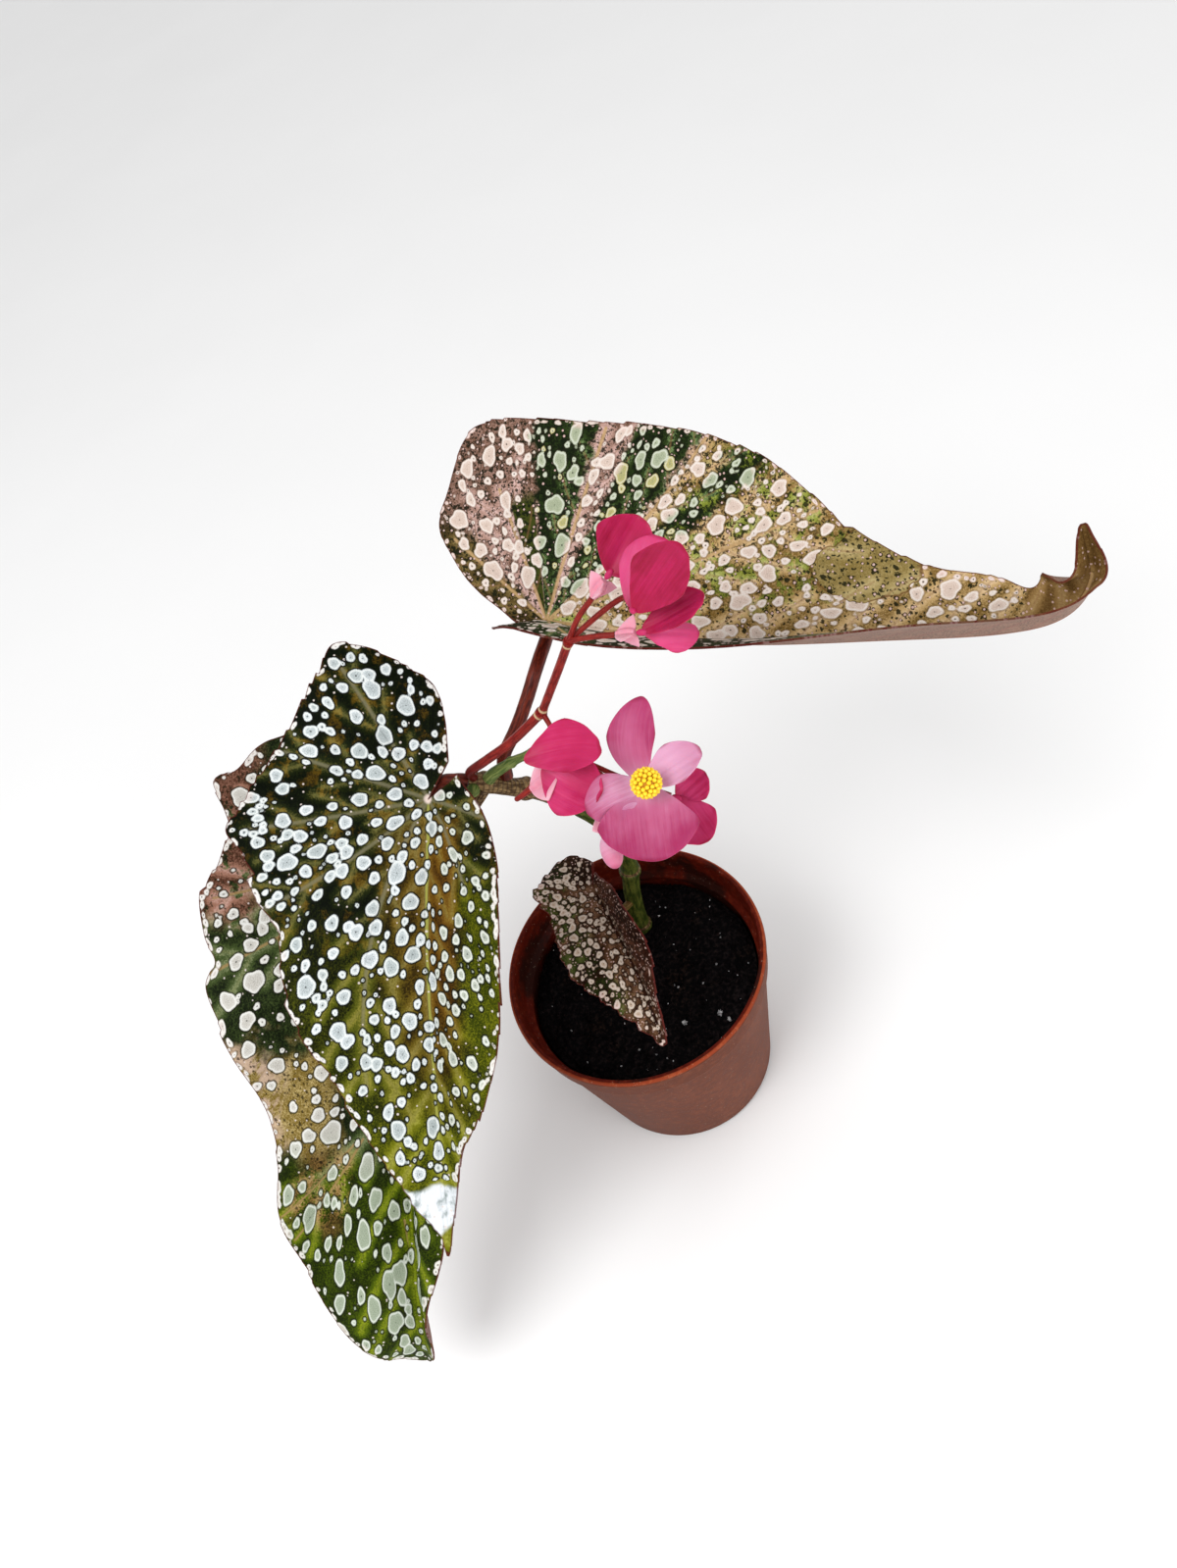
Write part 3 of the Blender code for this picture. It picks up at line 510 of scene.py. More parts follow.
def tube(line, radii, sides=24, rough=0.0, seed=1, kind=0.0):
    """A closed tube as (points, faces, values), its ends closed flat. Values are (distance, angle, kind)."""
    radii = np.array(radii, float)
    at = distances(line)
    _, across, other = ring_frames(line)
    turn = np.linspace(0, 2 * math.pi, sides, endpoint=False)
    points, values = [], []
    for centre, radius, a, b, place in zip(line, radii, across, other, at):
        flat = np.outer(np.cos(turn), a) + np.outer(np.sin(turn), b)
        points.append(centre + radius * flat)
        values.append(np.stack([np.full(sides, place), turn, np.full(sides, kind)], axis=-1))
    points = np.vstack(points)
    if rough:
        middle = np.repeat(line, sides, axis=0)
        points = middle + (points - middle) * (1 + rough * waves(points, 5.0, seed))[:, None]
    return points, ring_faces(len(line), sides), np.vstack(values)


def turned(profile, segments):
    """The profile, as (radius, height) from axis to axis, turned about +Z."""
    turn = np.linspace(0, 2 * math.pi, segments, endpoint=False)
    points = [(0, 0, profile[0][1])]
    for radius, height in profile[1:-1]:
        points += [(radius * math.cos(a), radius * math.sin(a), height) for a in turn]
    points.append((0, 0, profile[-1][1]))
    rows = len(profile) - 2
    faces = []
    for j in range(segments):
        k = (j + 1) % segments
        faces.append((0, 1 + k, 1 + j))
        for row in range(rows - 1):
            low, high = 1 + row * segments, 1 + (row + 1) * segments
            faces.append((low + j, low + k, high + k, high + j))
        top = 1 + (rows - 1) * segments
        faces.append((top + j, top + k, len(points) - 1))
    return np.array(points), faces


# Leaf shape


class Blade:
    """Where a point of the flat leaf, (along, across), lies in space, as in the solids."""

    def __init__(self, spine, face, hand, wide, narrow):
        self.line = smooth(spine, 24)
        self.at = distances(self.line)
        self.length = self.at[-1]
        self.tangents = unit(np.gradient(self.line, self.at, axis=0))
        self.face = unit(face)
        self.hand = hand
        self.wide = wide
        self.narrow = narrow

    def place(self, along, across, rise=0.0):
        along, across = np.asarray(along, float), np.asarray(across, float)
        held = np.clip(along, 0, self.length)
        share = held / self.length
        spot = np.stack([np.interp(held, self.at, self.line[:, k]) for k in range(3)], axis=-1)
        tangent = unit(np.stack([np.interp(held, self.at, self.tangents[:, k]) for k in range(3)], axis=-1))
        spot = spot + (along - held)[..., None] * tangent
        side = unit(np.cross(self.face, tangent))
        up = np.cross(tangent, side)
        far = np.abs(across)
        behind = np.clip(np.degrees(np.arctan2(far, along)) - 90, 0, 90)
        fade = np.cos(np.radians(behind))
        on_wide = across >= 0
        first = np.where(on_wide, self.wide[0], self.narrow[0])
        last = np.where(on_wide, self.wide[1], self.narrow[1])
        lift = np.radians((first + (last - first) * share) * fade)
        curl = np.radians(np.where(on_wide, self.wide[2], self.narrow[2]) * fade + 1e-5)
        level = (np.sin(lift) - np.sin(lift - curl * far)) / curl
        height = (np.cos(lift - curl * far) - np.cos(lift)) / curl
        sign = np.where(on_wide, 1, -1) * self.hand
        slope = lift - curl * far
        normal = up * np.cos(slope)[..., None] - side * (sign * np.sin(slope))[..., None]
        spot = spot + (level * sign)[..., None] * side + height[..., None] * up
        return spot + np.asarray(rise)[..., None] * normal


BLADES = {
    "front": Blade(FRONT_SPINE, TOWARDS_VIEW, -1, (10, 10, 0.15), (40, 30, 0.3)),
    "back": Blade(BACK_SPINE, TOWARDS_VIEW, -1, (8, 8, 0.1), (65, 65, 0.4)),
    "upper": Blade(UPPER_SPINE, (0, -0.27, 0.96), 1, (25, 25, 0.0), (56, 84, 0.5)),
    "small": Blade(SMALL_SPINE, TOWARDS_VIEW, -1, (15, 15, 0.2), (60, 60, 0.3)),
}


def margin(outline, teeth, depth, fine_teeth, fine_depth, seed):
    """The flat outline at even steps, cut into shallow teeth of two sizes, with the leaf's foot as last point."""
    line = smooth(outline, 8)
    count = int(distances(line)[-1] / LEAF_SPACING)
    line = resample(line, count)
    share = np.linspace(0, 1, count)
    fade = np.sin(math.pi * share) ** 0.5
    cut_in = depth * ((share * teeth) % 1.0) * fade
    rng = np.random.default_rng(seed)
    size = rng.uniform(0.1, 1.0, fine_teeth + 1)
    place = np.cumsum(rng.uniform(0.5, 1.5, fine_teeth + 1))
    tooth = np.interp(share, place / place[-1], np.arange(fine_teeth + 1.0))
    cut_in += fine_depth * (tooth % 1.0) * size[tooth.astype(int)] * fade
    reach = np.linalg.norm(line, axis=1)
    return np.vstack([line * (1 - cut_in / reach)[:, None], [[0.0, 0.0]]])


def nearest(points, targets):
    """Distance from each flat point to the nearest of the targets."""
    tree = KDTree(len(targets))
    for k, (x, y) in enumerate(np.asarray(targets).tolist()):
        tree.insert((x, y, 0), k)
    tree.balance()
    return np.array([tree.find((x, y, 0))[2] for x, y in points.tolist()])


def within(points, polygon):
    """Which flat points lie inside a closed polygon."""
    x, y = points[:, 0], points[:, 1]
    odd = np.zeros(len(points), bool)
    for (x0, y0), (x1, y1) in zip(polygon, np.roll(polygon, -1, axis=0)):
        if y0 != y1:
            odd ^= ((y0 > y) != (y1 > y)) & (x < (x1 - x0) * (y - y0) / (y1 - y0) + x0)
    return odd


def leaf_net(edge):
    """Points and triangles of an even net inside the flat outline."""
    low, high = edge.min(axis=0), edge.max(axis=0)
    rows = np.arange(low[1], high[1], LEAF_SPACING * math.sqrt(3) / 2)
    columns = np.arange(low[0], high[0], LEAF_SPACING)
    x, y = np.meshgrid(columns, rows)
    x[1::2] += LEAF_SPACING / 2
    grid = np.column_stack([x.ravel(), y.ravel()])
    grid = grid[within(grid, edge)]
    grid = grid[nearest(grid, edge) > LEAF_SPACING * 0.55]
    points = [Vector(spot) for spot in np.vstack([edge, grid]).tolist()]
    rim = [(k, (k + 1) % len(edge)) for k in range(len(edge))]
    made = delaunay_2d_cdt(points, rim, [], 1, 1e-6, False)
    flat, faces = np.array([tuple(spot) for spot in made[0]]), np.array(made[2])
    return flat, faces[within(flat[faces].mean(axis=1), edge)]


def rim_edges(faces):
    """The directed edges that only one triangle has."""
    pairs = {(int(a), int(b)) for face in faces for a, b in zip(face, np.roll(face, -1))}
    return sorted((a, b) for a, b in pairs if (b, a) not in pairs)


def vein_line(angle, bend, first, last):
    """Flat points of a main vein that leaves the leaf's foot, every half millimetre."""
    reach = np.arange(first, last, 0.5)
    turn = np.radians(angle + bend * reach / 100)
    return np.column_stack([reach * np.cos(turn), reach * np.sin(turn)])


def side_vein_lines(veins, step, lean, seed):
    """Flat points of the side veins that leave each main vein on both sides and bend towards its tip."""
    rng = np.random.default_rng(seed)
    lines = []
    for angle, bend, first, last in veins:
        main = vein_line(angle, bend, first, last)
        for hand in (-1, 1):
            at = step * rng.uniform(0.5, 0.9)
            while at < last - first - 3:
                foot = main[int(at / 0.5)]
                ahead = unit(main[min(int(at / 0.5) + 1, len(main) - 1)] - main[int(at / 0.5) - 1])
                length = 6 + 0.24 * at + rng.uniform(0, 4)
                along = np.arange(0, length, 0.4)
                turn = hand * (math.radians(lean) - 0.35 * along / length)
                steps = np.column_stack([
                    ahead[0] * np.cos(turn) - ahead[1] * np.sin(turn),
                    ahead[1] * np.cos(turn) + ahead[0] * np.sin(turn),
                ])
                lines.append(foot + np.cumsum(steps * 0.4, axis=0))
                at += step * rng.uniform(0.8, 1.25)
    return np.vstack(lines)


# Spots


def scatter_spots(edge, sizes, stretch, scale, seed, border, marks=()):
    """Rows of (along, across, radius, heading, stretch, tint). Sizes are (tries, least, most, gap)."""
    across_places, across_sizes = scale
    rng = np.random.default_rng(seed)
    low, high = edge.min(axis=0), edge.max(axis=0)
    rows = [(x, y, size, math.radians(turn), drawn, rng.uniform()) for x, y, size, turn, drawn in marks]
    step, least, most, chance = border
    line = resample(edge[:-1], int(distances(edge[:-1])[-1] / step))
    inwards = unit(np.gradient(line, axis=0))[:, ::-1] * (1, -1)
    if not within(line[len(line) // 2 - 1:len(line) // 2] + inwards[len(line) // 2 - 1] * 1.5, edge)[0]:
        inwards = -inwards
    for spot, way in zip(line, inwards):
        size = rng.uniform(least, most)
        centre = spot + way * (size * rng.uniform(0.2, 1.2)) + rng.normal(size=2) * 0.4
        if rng.uniform() < chance:
            rows.append((*centre, size, math.atan2(way[0], -way[1]), rng.uniform(1.0, 2.4), rng.uniform()))
    for tries, least, most, gap in sizes:
        centres = rng.uniform(low, high, (tries, 2))
        held = within(centres, edge)
        away = nearest(centres, edge)
        kept = np.array(rows)
        thick = waves(centres, 26.0, seed, 2) + rng.uniform(-0.6, 0.9, tries) > 0
        for centre, ok, inland in zip(centres, held & thick, away):
            size = (least + (most - least) * rng.uniform() ** 1.6) * np.interp(centre[1], across_places, across_sizes)
            drawn = np.interp(centre[0], *stretch) * rng.uniform(0.85, 1.25)
            merge = rng.uniform() < 0.22
            if not ok or inland < size * 0.7 or math.hypot(*centre) < size + 0.8:
                continue
            heading = math.atan2(centre[1], centre[0]) * (0.9 if centre[0] > 0 else 1.0)
            offset = kept[:, :2] - centre
            c, s = math.cos(heading), math.sin(heading)
            x = (offset[:, 0] * c + offset[:, 1] * s) / math.sqrt(drawn)
            y = (offset[:, 1] * c - offset[:, 0] * s) * math.sqrt(drawn)
            between = np.hypot(x, y) - kept[:, 2] - size
            if between.min() < (-0.35 * size if merge else gap):
                continue
            rows.append((*centre, size, heading, drawn, rng.uniform()))
            kept = np.array(rows)
    return np.array(rows)


def spot_fields(points, rows, lumps, seed):
    """At each flat point, the distance to the nearest spot's rim and centre, and that spot's tint."""
    rng = np.random.default_rng(seed)
    rim, centre, tint = np.full(len(points), 4.0), np.full(len(points), 9.0), np.zeros(len(points))
    for x, y, size, heading, drawn, tone in rows:
        reach = size * 2.2 + 2.5
        near = np.flatnonzero((np.abs(points[:, 0] - x) < reach) & (np.abs(points[:, 1] - y) < reach))
        offset = points[near] - (x, y)
        c, s = math.cos(heading), math.sin(heading)
        u = (offset[:, 0] * c + offset[:, 1] * s) / math.sqrt(drawn)
        v = (offset[:, 1] * c - offset[:, 0] * s) * math.sqrt(drawn)
        away, angle = np.hypot(u, v), np.arctan2(v, u)
        phase = rng.uniform(0, 2 * math.pi, 3)
        lumpy = np.sin(2 * angle + phase[0]) + 0.8 * np.sin(3 * angle + phase[1]) + 0.5 * np.sin(5 * angle + phase[2])
        gap = away - size * (1 + lumps * lumpy)
        nearer = gap < rim[near]
        tint[near[nearer]] = tone
        centre[near[nearer]] = away[nearer]
        blend = np.clip(0.5 + (rim[near] - gap) / 0.5, 0, 1)
        rim[near] = rim[near] * (1 - blend) + gap * blend - 0.25 * blend * (1 - blend)
    return np.column_stack([rim, centre, tint])


def vertex_normals(points, faces):
    corners = points[faces]
    flat = np.cross(corners[:, 1] - corners[:, 0], corners[:, 2] - corners[:, 0])
    total = np.zeros_like(points)
    for k in range(3):
        np.add.at(total, faces[:, k], flat)
    return unit(total)


def make_leaf(side, outline, veins, ripple, teeth, side_veins, spots, lumps, materials):
    """The thin blade with its puckers between the veins. Ripple is (waves, height)."""
    name = "leaf_" + side
    blade = BLADES[side]
    edge = margin(outline, *teeth, seed=len(outline))
    flat, faces = leaf_net(edge)
    turn = np.degrees(np.arctan2(edge[:-1, 1], edge[:-1, 0]))
    sinus = (turn[0] + turn[-1]) / 2
    turn = np.minimum.accumulate(np.where(turn < sinus + 1e-6, turn + 360, turn))
    angle = np.degrees(np.arctan2(flat[:, 1], flat[:, 0]))
    angle = np.where(angle < sinus, angle + 360, angle)
    share = np.interp(angle, turn[::-1], np.linspace(1, 0, len(turn)))
    reach = np.hypot(*flat.T)
    out = np.clip(reach / np.interp(angle, turn[::-1], np.hypot(*edge[:-1].T)[::-1]), 0, 1)
    inland = nearest(flat, resample(np.vstack([edge, edge[:1]]), len(edge) * 3))
    main = np.vstack([vein_line(*vein) for vein in veins])
    rib, branch = nearest(flat, main), nearest(flat, side_vein_lines(veins, *side_veins))
    on_rib = np.clip(np.abs(flat[:, 1]) / 12, 0, 1)
    swell = ripple[1] * np.sin(2 * math.pi * ripple[0] * share + 0.8) * out**2 * on_rib
    pucker = 0.55 * (1 - np.exp(-((rib / 3.0) ** 2))) + 0.4 * (1 - np.exp(-((branch / 2.0) ** 2)))
    pucker += 0.16 * waves(flat, 6.0, 4) * np.clip(rib / 4, 0, 1)
    rise = swell + pucker * (1 - out**6) - 0.5
    points = blade.place(*flat.T, rise)
    normals = vertex_normals(points, faces)
    if np.mean(np.sum(normals * (blade.place(*flat.T, rise + 1) - points), axis=1)) < 0:
        faces, normals = faces[:, ::-1], -normals
    upper, lower = points + normals * BLADE / 2, points - normals * BLADE / 2
    count = len(points)
    solid = faces.tolist() + (faces[:, ::-1] + count).tolist()
    for a, b in rim_edges(faces):
        solid += [(b, a, a + count), (b, a + count, b + count)]
    face_material = [0] * len(faces) + [1] * len(faces) + [0] * (len(solid) - 2 * len(faces))
    rows = scatter_spots(edge, *spots)
    marks = spot_fields(flat, rows, lumps, 5)
    attributes = {
        "leaf": np.tile(np.column_stack([flat, inland]), (2, 1)),
        "spot": np.tile(marks, (2, 1)),
        "rib": np.tile(np.column_stack([rib, branch, out]), (2, 1)),
    }
    leaf = add_object(name + "_blade", np.vstack([upper, lower]), solid, materials, attributes, face_material)
    return finish(leaf, [name], 60, turn_outwards=False)


# Leaf colours


def leaf_fields(paint, veins):
    """Values that a leaf's colours are made of: flat place, way to the margin, angle, reach and veins."""
    along, across, inland = paint.attribute("leaf")
    rib, branch, out = paint.attribute("rib")
    here = paint.vector(along, across)
    reach = (along * along + across * across) ** 0.5
    angle = paint.math("ARCTAN2", across, along) * (180 / math.pi)
    line = None
    for start, bend, first, last in veins:
        away = abs(angle - start - reach * (bend / 100)) * reach * (math.pi / 180)
        away = away + (reach - last).most(0.0) + (first - reach).most(0.0)
        line = away if line is None else line.least(away)
    rim, centre, tint = paint.attribute("spot")
    return {
        "along": along, "across": across, "inland": inland, "here": here, "reach": reach, "angle": angle,
        "line": line, "rib": rib, "branch": branch, "field": rib.least(branch * 1.3), "out": out,
        "rim": rim, "centre": centre, "tint": tint,
        "wobble": paint.noise(here, 0.25, 2.0), "broad": paint.noise(here, 0.09, 3.0),
        "fine": paint.noise(here, 1.6, 4.0, 0.65), "grit": paint.noise(here, 3.4, 3.0, 0.7),
        "patch": paint.noise(paint.vector(along + 50, across + 9), 0.16, 5.0, 0.7),
        "streak": paint.noise(paint.vector(reach * 0.12, angle * 0.4), 1.0, 4.0, 0.65),
    }


def dots(paint, fields, cell, low, high, chance, bend=0.0):
    """Mask of dots too small for the mesh, away from the spots. A bend makes them ragged."""
    place = fields["here"]
    if bend:
        ragged = (paint.noise(place, 1.1, 2.0) - 0.5) * bend * 2
        place = paint.vector(fields["along"] + ragged, fields["across"] - ragged * 0.7)
    away, (first, second, _) = paint.cells(place, 1 / cell)
    radius = low + (high - low) * first
    near = away * cell - radius + second.above(chance - 0.01, chance) * 3
    return near.below(-0.08, 0.1) * fields["rim"].above(0.2, 0.45)


def leaf_top(name, veins, ground, fill, border, outline, outline_share, fine_dots, ring=0.5, bare=None):
    """The upper skin: ground colours by zone, veins, ringed spots and a pale border."""
    paint = Paint(name + "_top", 0.55, 0.04)
    fields = leaf_fields(paint, veins)
    if bare is not None:
        fields["rim"] = fields["rim"] + bare(fields) * 5
    colour = ground(paint, fields)
    colour = paint.mix(colour, border, dots(paint, fields, *fine_dots) * 0.85)
    ragged = (fields["grit"] - 0.5) * 0.35
    rim = fields["rim"] + ragged
    share = outline_share(paint, fields) if callable(outline_share) else outline_share
    colour = paint.mix(colour, outline, rim.below(0.30, 0.55) * share * (fields["inland"].above(1.2, 3.5) * 0.7 + 0.3))
    pale = paint.mix(*fill(paint, fields), fields["grit"].above(0.42, 0.62) * 0.6 + rim.below(-1.6, -0.5) * 0.25)
    pale = paint.mix(pale, border, fields["inland"].below(0.8, 2.6) * 0.7)
    shine = rim.above(-0.75, -0.45) * rim.below(-0.3, -0.05)
    pale = paint.mix(pale, srgb(236, 238, 234), shine * ring)
    colour = paint.mix(colour, pale, rim.below(-0.12, 0.12))
    colour = paint.mix(colour, outline, fields["centre"].below(0.2, 0.4) * rim.below(-0.3, 0.0) * 0.85)
    edge = fields["inland"].below(0.12, 0.4)
    colour = paint.mix(colour, srgb(84, 30, 26), edge * 0.85)
    height = fields["fine"] * 0.45 + rim.below(-0.2, 0.2) * 0.3 + fields["line"].above(0.2, 0.9) * 0.5
    return paint.finish(colour, height, 0.6, 0.0008, 0.42 + fields["fine"] * 0.2)


def leaf_under(name, veins, dark, light):
    paint = Paint(name + "_under", 0.5, 0.3)
    fields = leaf_fields(paint, veins)
    colour = paint.mix(dark, light, fields["fine"].above(0.35, 0.7))
    colour = paint.mix(colour, light, fields["rim"].below(-0.2, 0.3) * 0.35)
    colour = paint.mix(colour, srgb(150, 92, 74), fields["line"].below(0.3, 1.1) * 0.8)
    colour = paint.mix(colour, srgb(128, 72, 58), fields["branch"].below(0.2, 0.8) * 0.5)
    height = fields["line"].below(0.2, 1.4) + fields["fine"] * 0.3
    return paint.finish(colour, height, 0.5, 0.0008)


def shade(paint, fields, dark, middle, light):
    """Dark, middle and light tones of one ground: light in bands along the veins, dark between them, and grain."""
    band = fields["field"].below(0.0, 4.0)
    tone = band * 0.36 + fields["patch"] * 0.42 + fields["streak"] * 0.22
    tone = tone + (fields["fine"] - 0.5) * 0.6 + (fields["grit"] - 0.5) * 0.5
    colour = paint.mix(dark, middle, tone.above(0.24, 0.50))
    return paint.mix(colour, light, tone.above(0.50, 0.80))


def front_bare(fields):
    """The white fold and the green tip of the front leaf, which have no spots."""
    return fields["along"].above(105, 107)


def upper_bare(fields):
    """The dried tip and the dried patch of the upper leaf, which have no spots."""
    drift = fields["broad"] - 0.5
    x, y = (fields["along"] - 88) / 15, (fields["across"] - 19) / 9
    patch = (x * x + y * y + drift * 1.6).below(0.92, 1.0)
    return patch.most((fields["along"] + drift * 12).above(127, 130))


def front_ground(paint, fields):
    along, across = fields["along"], fields["across"]
    drift = fields["broad"] - 0.5
    colour = shade(paint, fields, srgb(2, 6, 0), srgb(20, 27, 4), srgb(84, 84, 40))
    gold = fields["patch"].above(0.50, 0.58) * fields["wobble"].above(0.40, 0.52)
    colour = paint.mix(colour, shade(paint, fields, srgb(28, 20, 2), srgb(82, 62, 10), srgb(122, 102, 42)), gold * 0.85)
    low = (along + drift * 40 + across * 0.3).above(34, 62)
    olive = shade(paint, fields, srgb(14, 18, 0), srgb(72, 76, 12), srgb(128, 122, 48))
    colour = paint.mix(colour, olive, low)
    # Painted light: the outer part of the narrow half is painted a brighter yellow-green.
    right = (drift * 20 - across).above(7, 14) * (along + drift * 30).above(12, 40)
    bright = shade(paint, fields, srgb(42, 50, 0), srgb(106, 108, 14), srgb(152, 152, 60))
    colour = paint.mix(colour, bright, right)
    tip = (along + drift * 40).above(66, 98)
    colour = paint.mix(colour, bright, tip * 0.9)
    brown = (abs(across) + drift * 10).below(4, 16) * along.above(2, 12) * (along + drift * 40).below(56, 98)
    colour = paint.mix(colour, shade(paint, fields, srgb(42, 28, 2), srgb(96, 74, 18), srgb(136, 114, 58)), brown * 0.8)
    # Painted shade: an orange-brown band beside the midrib on the narrow half, where that half folds.
    fold_shade = (across + drift * 8).above(-13, -8) * across.below(-0.5, 0.5) * along.above(3, 10)
    fold_shade = fold_shade * (along + drift * 30).below(50, 86)
    colour = paint.mix(colour, shade(paint, fields, srgb(52, 28, 2), srgb(98, 66, 14), srgb(130, 104, 38)), fold_shade * 0.85)
    olive_vein = fields["line"].below(0.15, 0.9) * fields["reach"].below(50, 100)
    colour = paint.mix(colour, srgb(112, 108, 84), olive_vein * 0.7)
    colour = paint.mix(colour, srgb(110, 104, 56), fields["branch"].below(0.15, 0.7) * 0.3)
    rib = abs(across).below(0.25, 0.6) * along.above(0, 3) * along.below(90, 118)
    colour = paint.mix(colour, srgb(148, 148, 66), rib * 0.9)
    tail = (along + drift * 8).above(106, 107.5) * (along - across).below(119, 121)
    fold = paint.mix(srgb(216, 220, 224), srgb(128, 140, 138), fields["streak"].above(0.48, 0.66))
    colour = paint.mix(colour, fold, tail * fields["patch"].above(0.25, 0.35))
    return paint.mix(colour, srgb(214, 196, 186), fields["reach"].below(0.8, 1.8))


def front_fill(paint, fields):
    right = (fields["across"] - fields["along"] * 0.02).below(-6, -2)
    first = paint.mix(srgb(210, 217, 220), srgb(186, 194, 194), fields["tint"])
    return paint.mix(first, srgb(180, 184, 158), right * 0.7), srgb(120, 130, 130)


def back_ground(paint, fields):
    along, across = fields["along"], fields["across"]
    drift = fields["broad"] - 0.5
    colour = shade(paint, fields, srgb(12, 20, 4), srgb(58, 72, 34), srgb(124, 132, 92))
    low = (along + drift * 30).above(92, 104)
    olive = shade(paint, fields, srgb(20, 30, 0), srgb(64, 80, 4), srgb(128, 140, 24))
    colour = paint.mix(colour, olive, low)
    tan = (along + drift * 40).above(54, 64) * (along + drift * 26).below(90, 100) * (across + drift * 8).above(18, 24)
    straw = shade(paint, fields, srgb(110, 90, 34), srgb(186, 166, 112), srgb(216, 198, 166))
    colour = paint.mix(colour, straw, tan)
    dead = (across + drift * 16).above(44, 52) * (along + drift * 12).below(22, 30)
    dusk = shade(paint, fields, srgb(70, 40, 26), srgb(146, 104, 86), srgb(190, 152, 140))
    colour = paint.mix(colour, dusk, dead * fields["patch"].above(0.40, 0.47))
    fan = fields["angle"].above(9, 11) * (fields["angle"] + drift * 6).below(17, 21) * fields["reach"].above(92, 100)
    fan = fan * (fields["reach"] + drift * 20).below(114, 124)
    fibres = fan * (fields["streak"] * 0.6 + fields["fine"] * 0.4).above(0.46, 0.54)
    colour = paint.mix(colour, shade(paint, fields, srgb(58, 40, 14), srgb(126, 98, 52), srgb(176, 148, 102)), fibres)
    old = (tan + dead).least(1.0)
    blush = tan * (across + drift * 10).above(34, 42) * fields["streak"].above(0.44, 0.56) * 0.6
    colour = paint.mix(colour, srgb(204, 176, 162), blush)
    flecks = dots(paint, fields, 1.6, 0.1, 0.5, 0.7, 1.0) * (old * 0.8 + fan * 0.8 + 0.1).least(1.0)
    colour = paint.mix(colour, srgb(34, 26, 10), flecks * 0.9)
    line = fields["line"].below(0.15, 0.6) * (1 - abs(across).below(1.0, 2.0) * along.above(84, 96))
    colour = paint.mix(colour, srgb(150, 122, 78), line * 0.8)
    return paint.mix(colour, srgb(96, 94, 44), fields["branch"].below(0.1, 0.5) * 0.3)


def back_fill(paint, fields):
    low = fields["along"].above(80, 108)
    return paint.mix(srgb(212, 210, 204), srgb(166, 176, 156), low), paint.mix(srgb(160, 156, 146), srgb(122, 134, 112), low)


def green_sector(paint, fields):
    """Share of the upper leaf's green wedges between its pink ones."""
    angle = fields["angle"] + (fields["wobble"] - 0.5) * 9
    far = (fields["along"] + (fields["broad"] - 0.5) * 40).below(70, 88)
    wedge = angle.above(53, 55) * angle.below(72, 75) + angle.above(84, 86) * angle.below(104, 107)
    wedge = wedge + angle.above(36, 39) * angle.below(44, 47) * fields["reach"].above(22, 30)
    return wedge * far


def upper_ground(paint, fields):
    along, across = fields["along"], fields["across"]
    drift = fields["broad"] - 0.5
    angle = fields["angle"] + (fields["wobble"] - 0.5) * 8
    pink = shade(paint, fields, srgb(96, 68, 52), srgb(166, 132, 120), srgb(204, 172, 166))
    green = shade(paint, fields, srgb(10, 18, 2), srgb(40, 56, 20), srgb(108, 130, 82))
    tan = shade(paint, fields, srgb(112, 86, 40), srgb(178, 148, 100), srgb(206, 178, 142))
    lime = shade(paint, fields, srgb(60, 70, 14), srgb(124, 134, 48), srgb(166, 172, 100))
    colour = paint.mix(tan, pink, angle.above(50, 56))
    colour = paint.mix(colour, green, green_sector(paint, fields))
    yellow = fields["patch"].above(0.49, 0.57) * angle.above(4, 12) * angle.below(42, 52) * along.below(96, 110)
    colour = paint.mix(colour, lime, yellow * 0.9)
    dark = fields["angle"].above(106, 107.5) * fields["angle"].below(118.5, 120) * fields["reach"].below(33, 38)
    colour = paint.mix(colour, srgb(54, 60, 16), dark)
    narrow = across.below(-0.6, 0.4)
    colour = paint.mix(colour, green, narrow)
    near_edge = fields["inland"].below(1.5, 4.5) * narrow * along.above(56, 80)
    colour = paint.mix(colour, srgb(128, 142, 98), near_edge * 0.8)
    # Painted shade: the folded basal lobes are painted a darker brown.
    shaded_lobe = (angle + drift * 20).above(142, 150) + (angle + 180).below(40, 60)
    colour = paint.mix(colour, shade(paint, fields, srgb(44, 32, 14), srgb(86, 70, 34), srgb(126, 108, 66)), shaded_lobe.least(1.0))
    dry = (along + drift * 12).above(127, 129)
    colour = paint.mix(colour, shade(paint, fields, srgb(92, 66, 32), srgb(136, 106, 62), srgb(166, 138, 92)), dry)
    patch_x, patch_y = (along - 88) / 15, (across - 19) / 9
    patch = (patch_x * patch_x + patch_y * patch_y + drift * 1.6).below(0.92, 1.0)
    colour = paint.mix(colour, shade(paint, fields, srgb(120, 102, 54), srgb(152, 134, 86), srgb(176, 158, 112)), patch)
    ringed = (patch_x * patch_x + patch_y * patch_y + drift * 1.6)
    colour = paint.mix(colour, srgb(96, 64, 30), ringed.above(0.9, 0.97) * ringed.below(1.0, 1.07) * 0.8)
    flecks = dots(paint, fields, 1.9, 0.15, 0.7, 0.72, 1.0).most(dots(paint, fields, 1.2, 0.05, 0.42, 0.7, 0.9))
    blots = paint.noise(fields["here"], 0.62, 4.0, 0.68, 0.5).above(0.54, 0.56) * fields["rim"].above(0.0, 0.2)
    flecks = flecks.most(blots * angle.above(8, 30))
    colour = paint.mix(colour, srgb(14, 20, 6), flecks * (1 - dry) * 0.92)
    line = fields["line"].below(0.2, 0.7)
    colour = paint.mix(colour, srgb(176, 144, 100), line * 0.85)
    return paint.mix(colour, srgb(128, 92, 60), fields["branch"].below(0.15, 0.5) * 0.45)


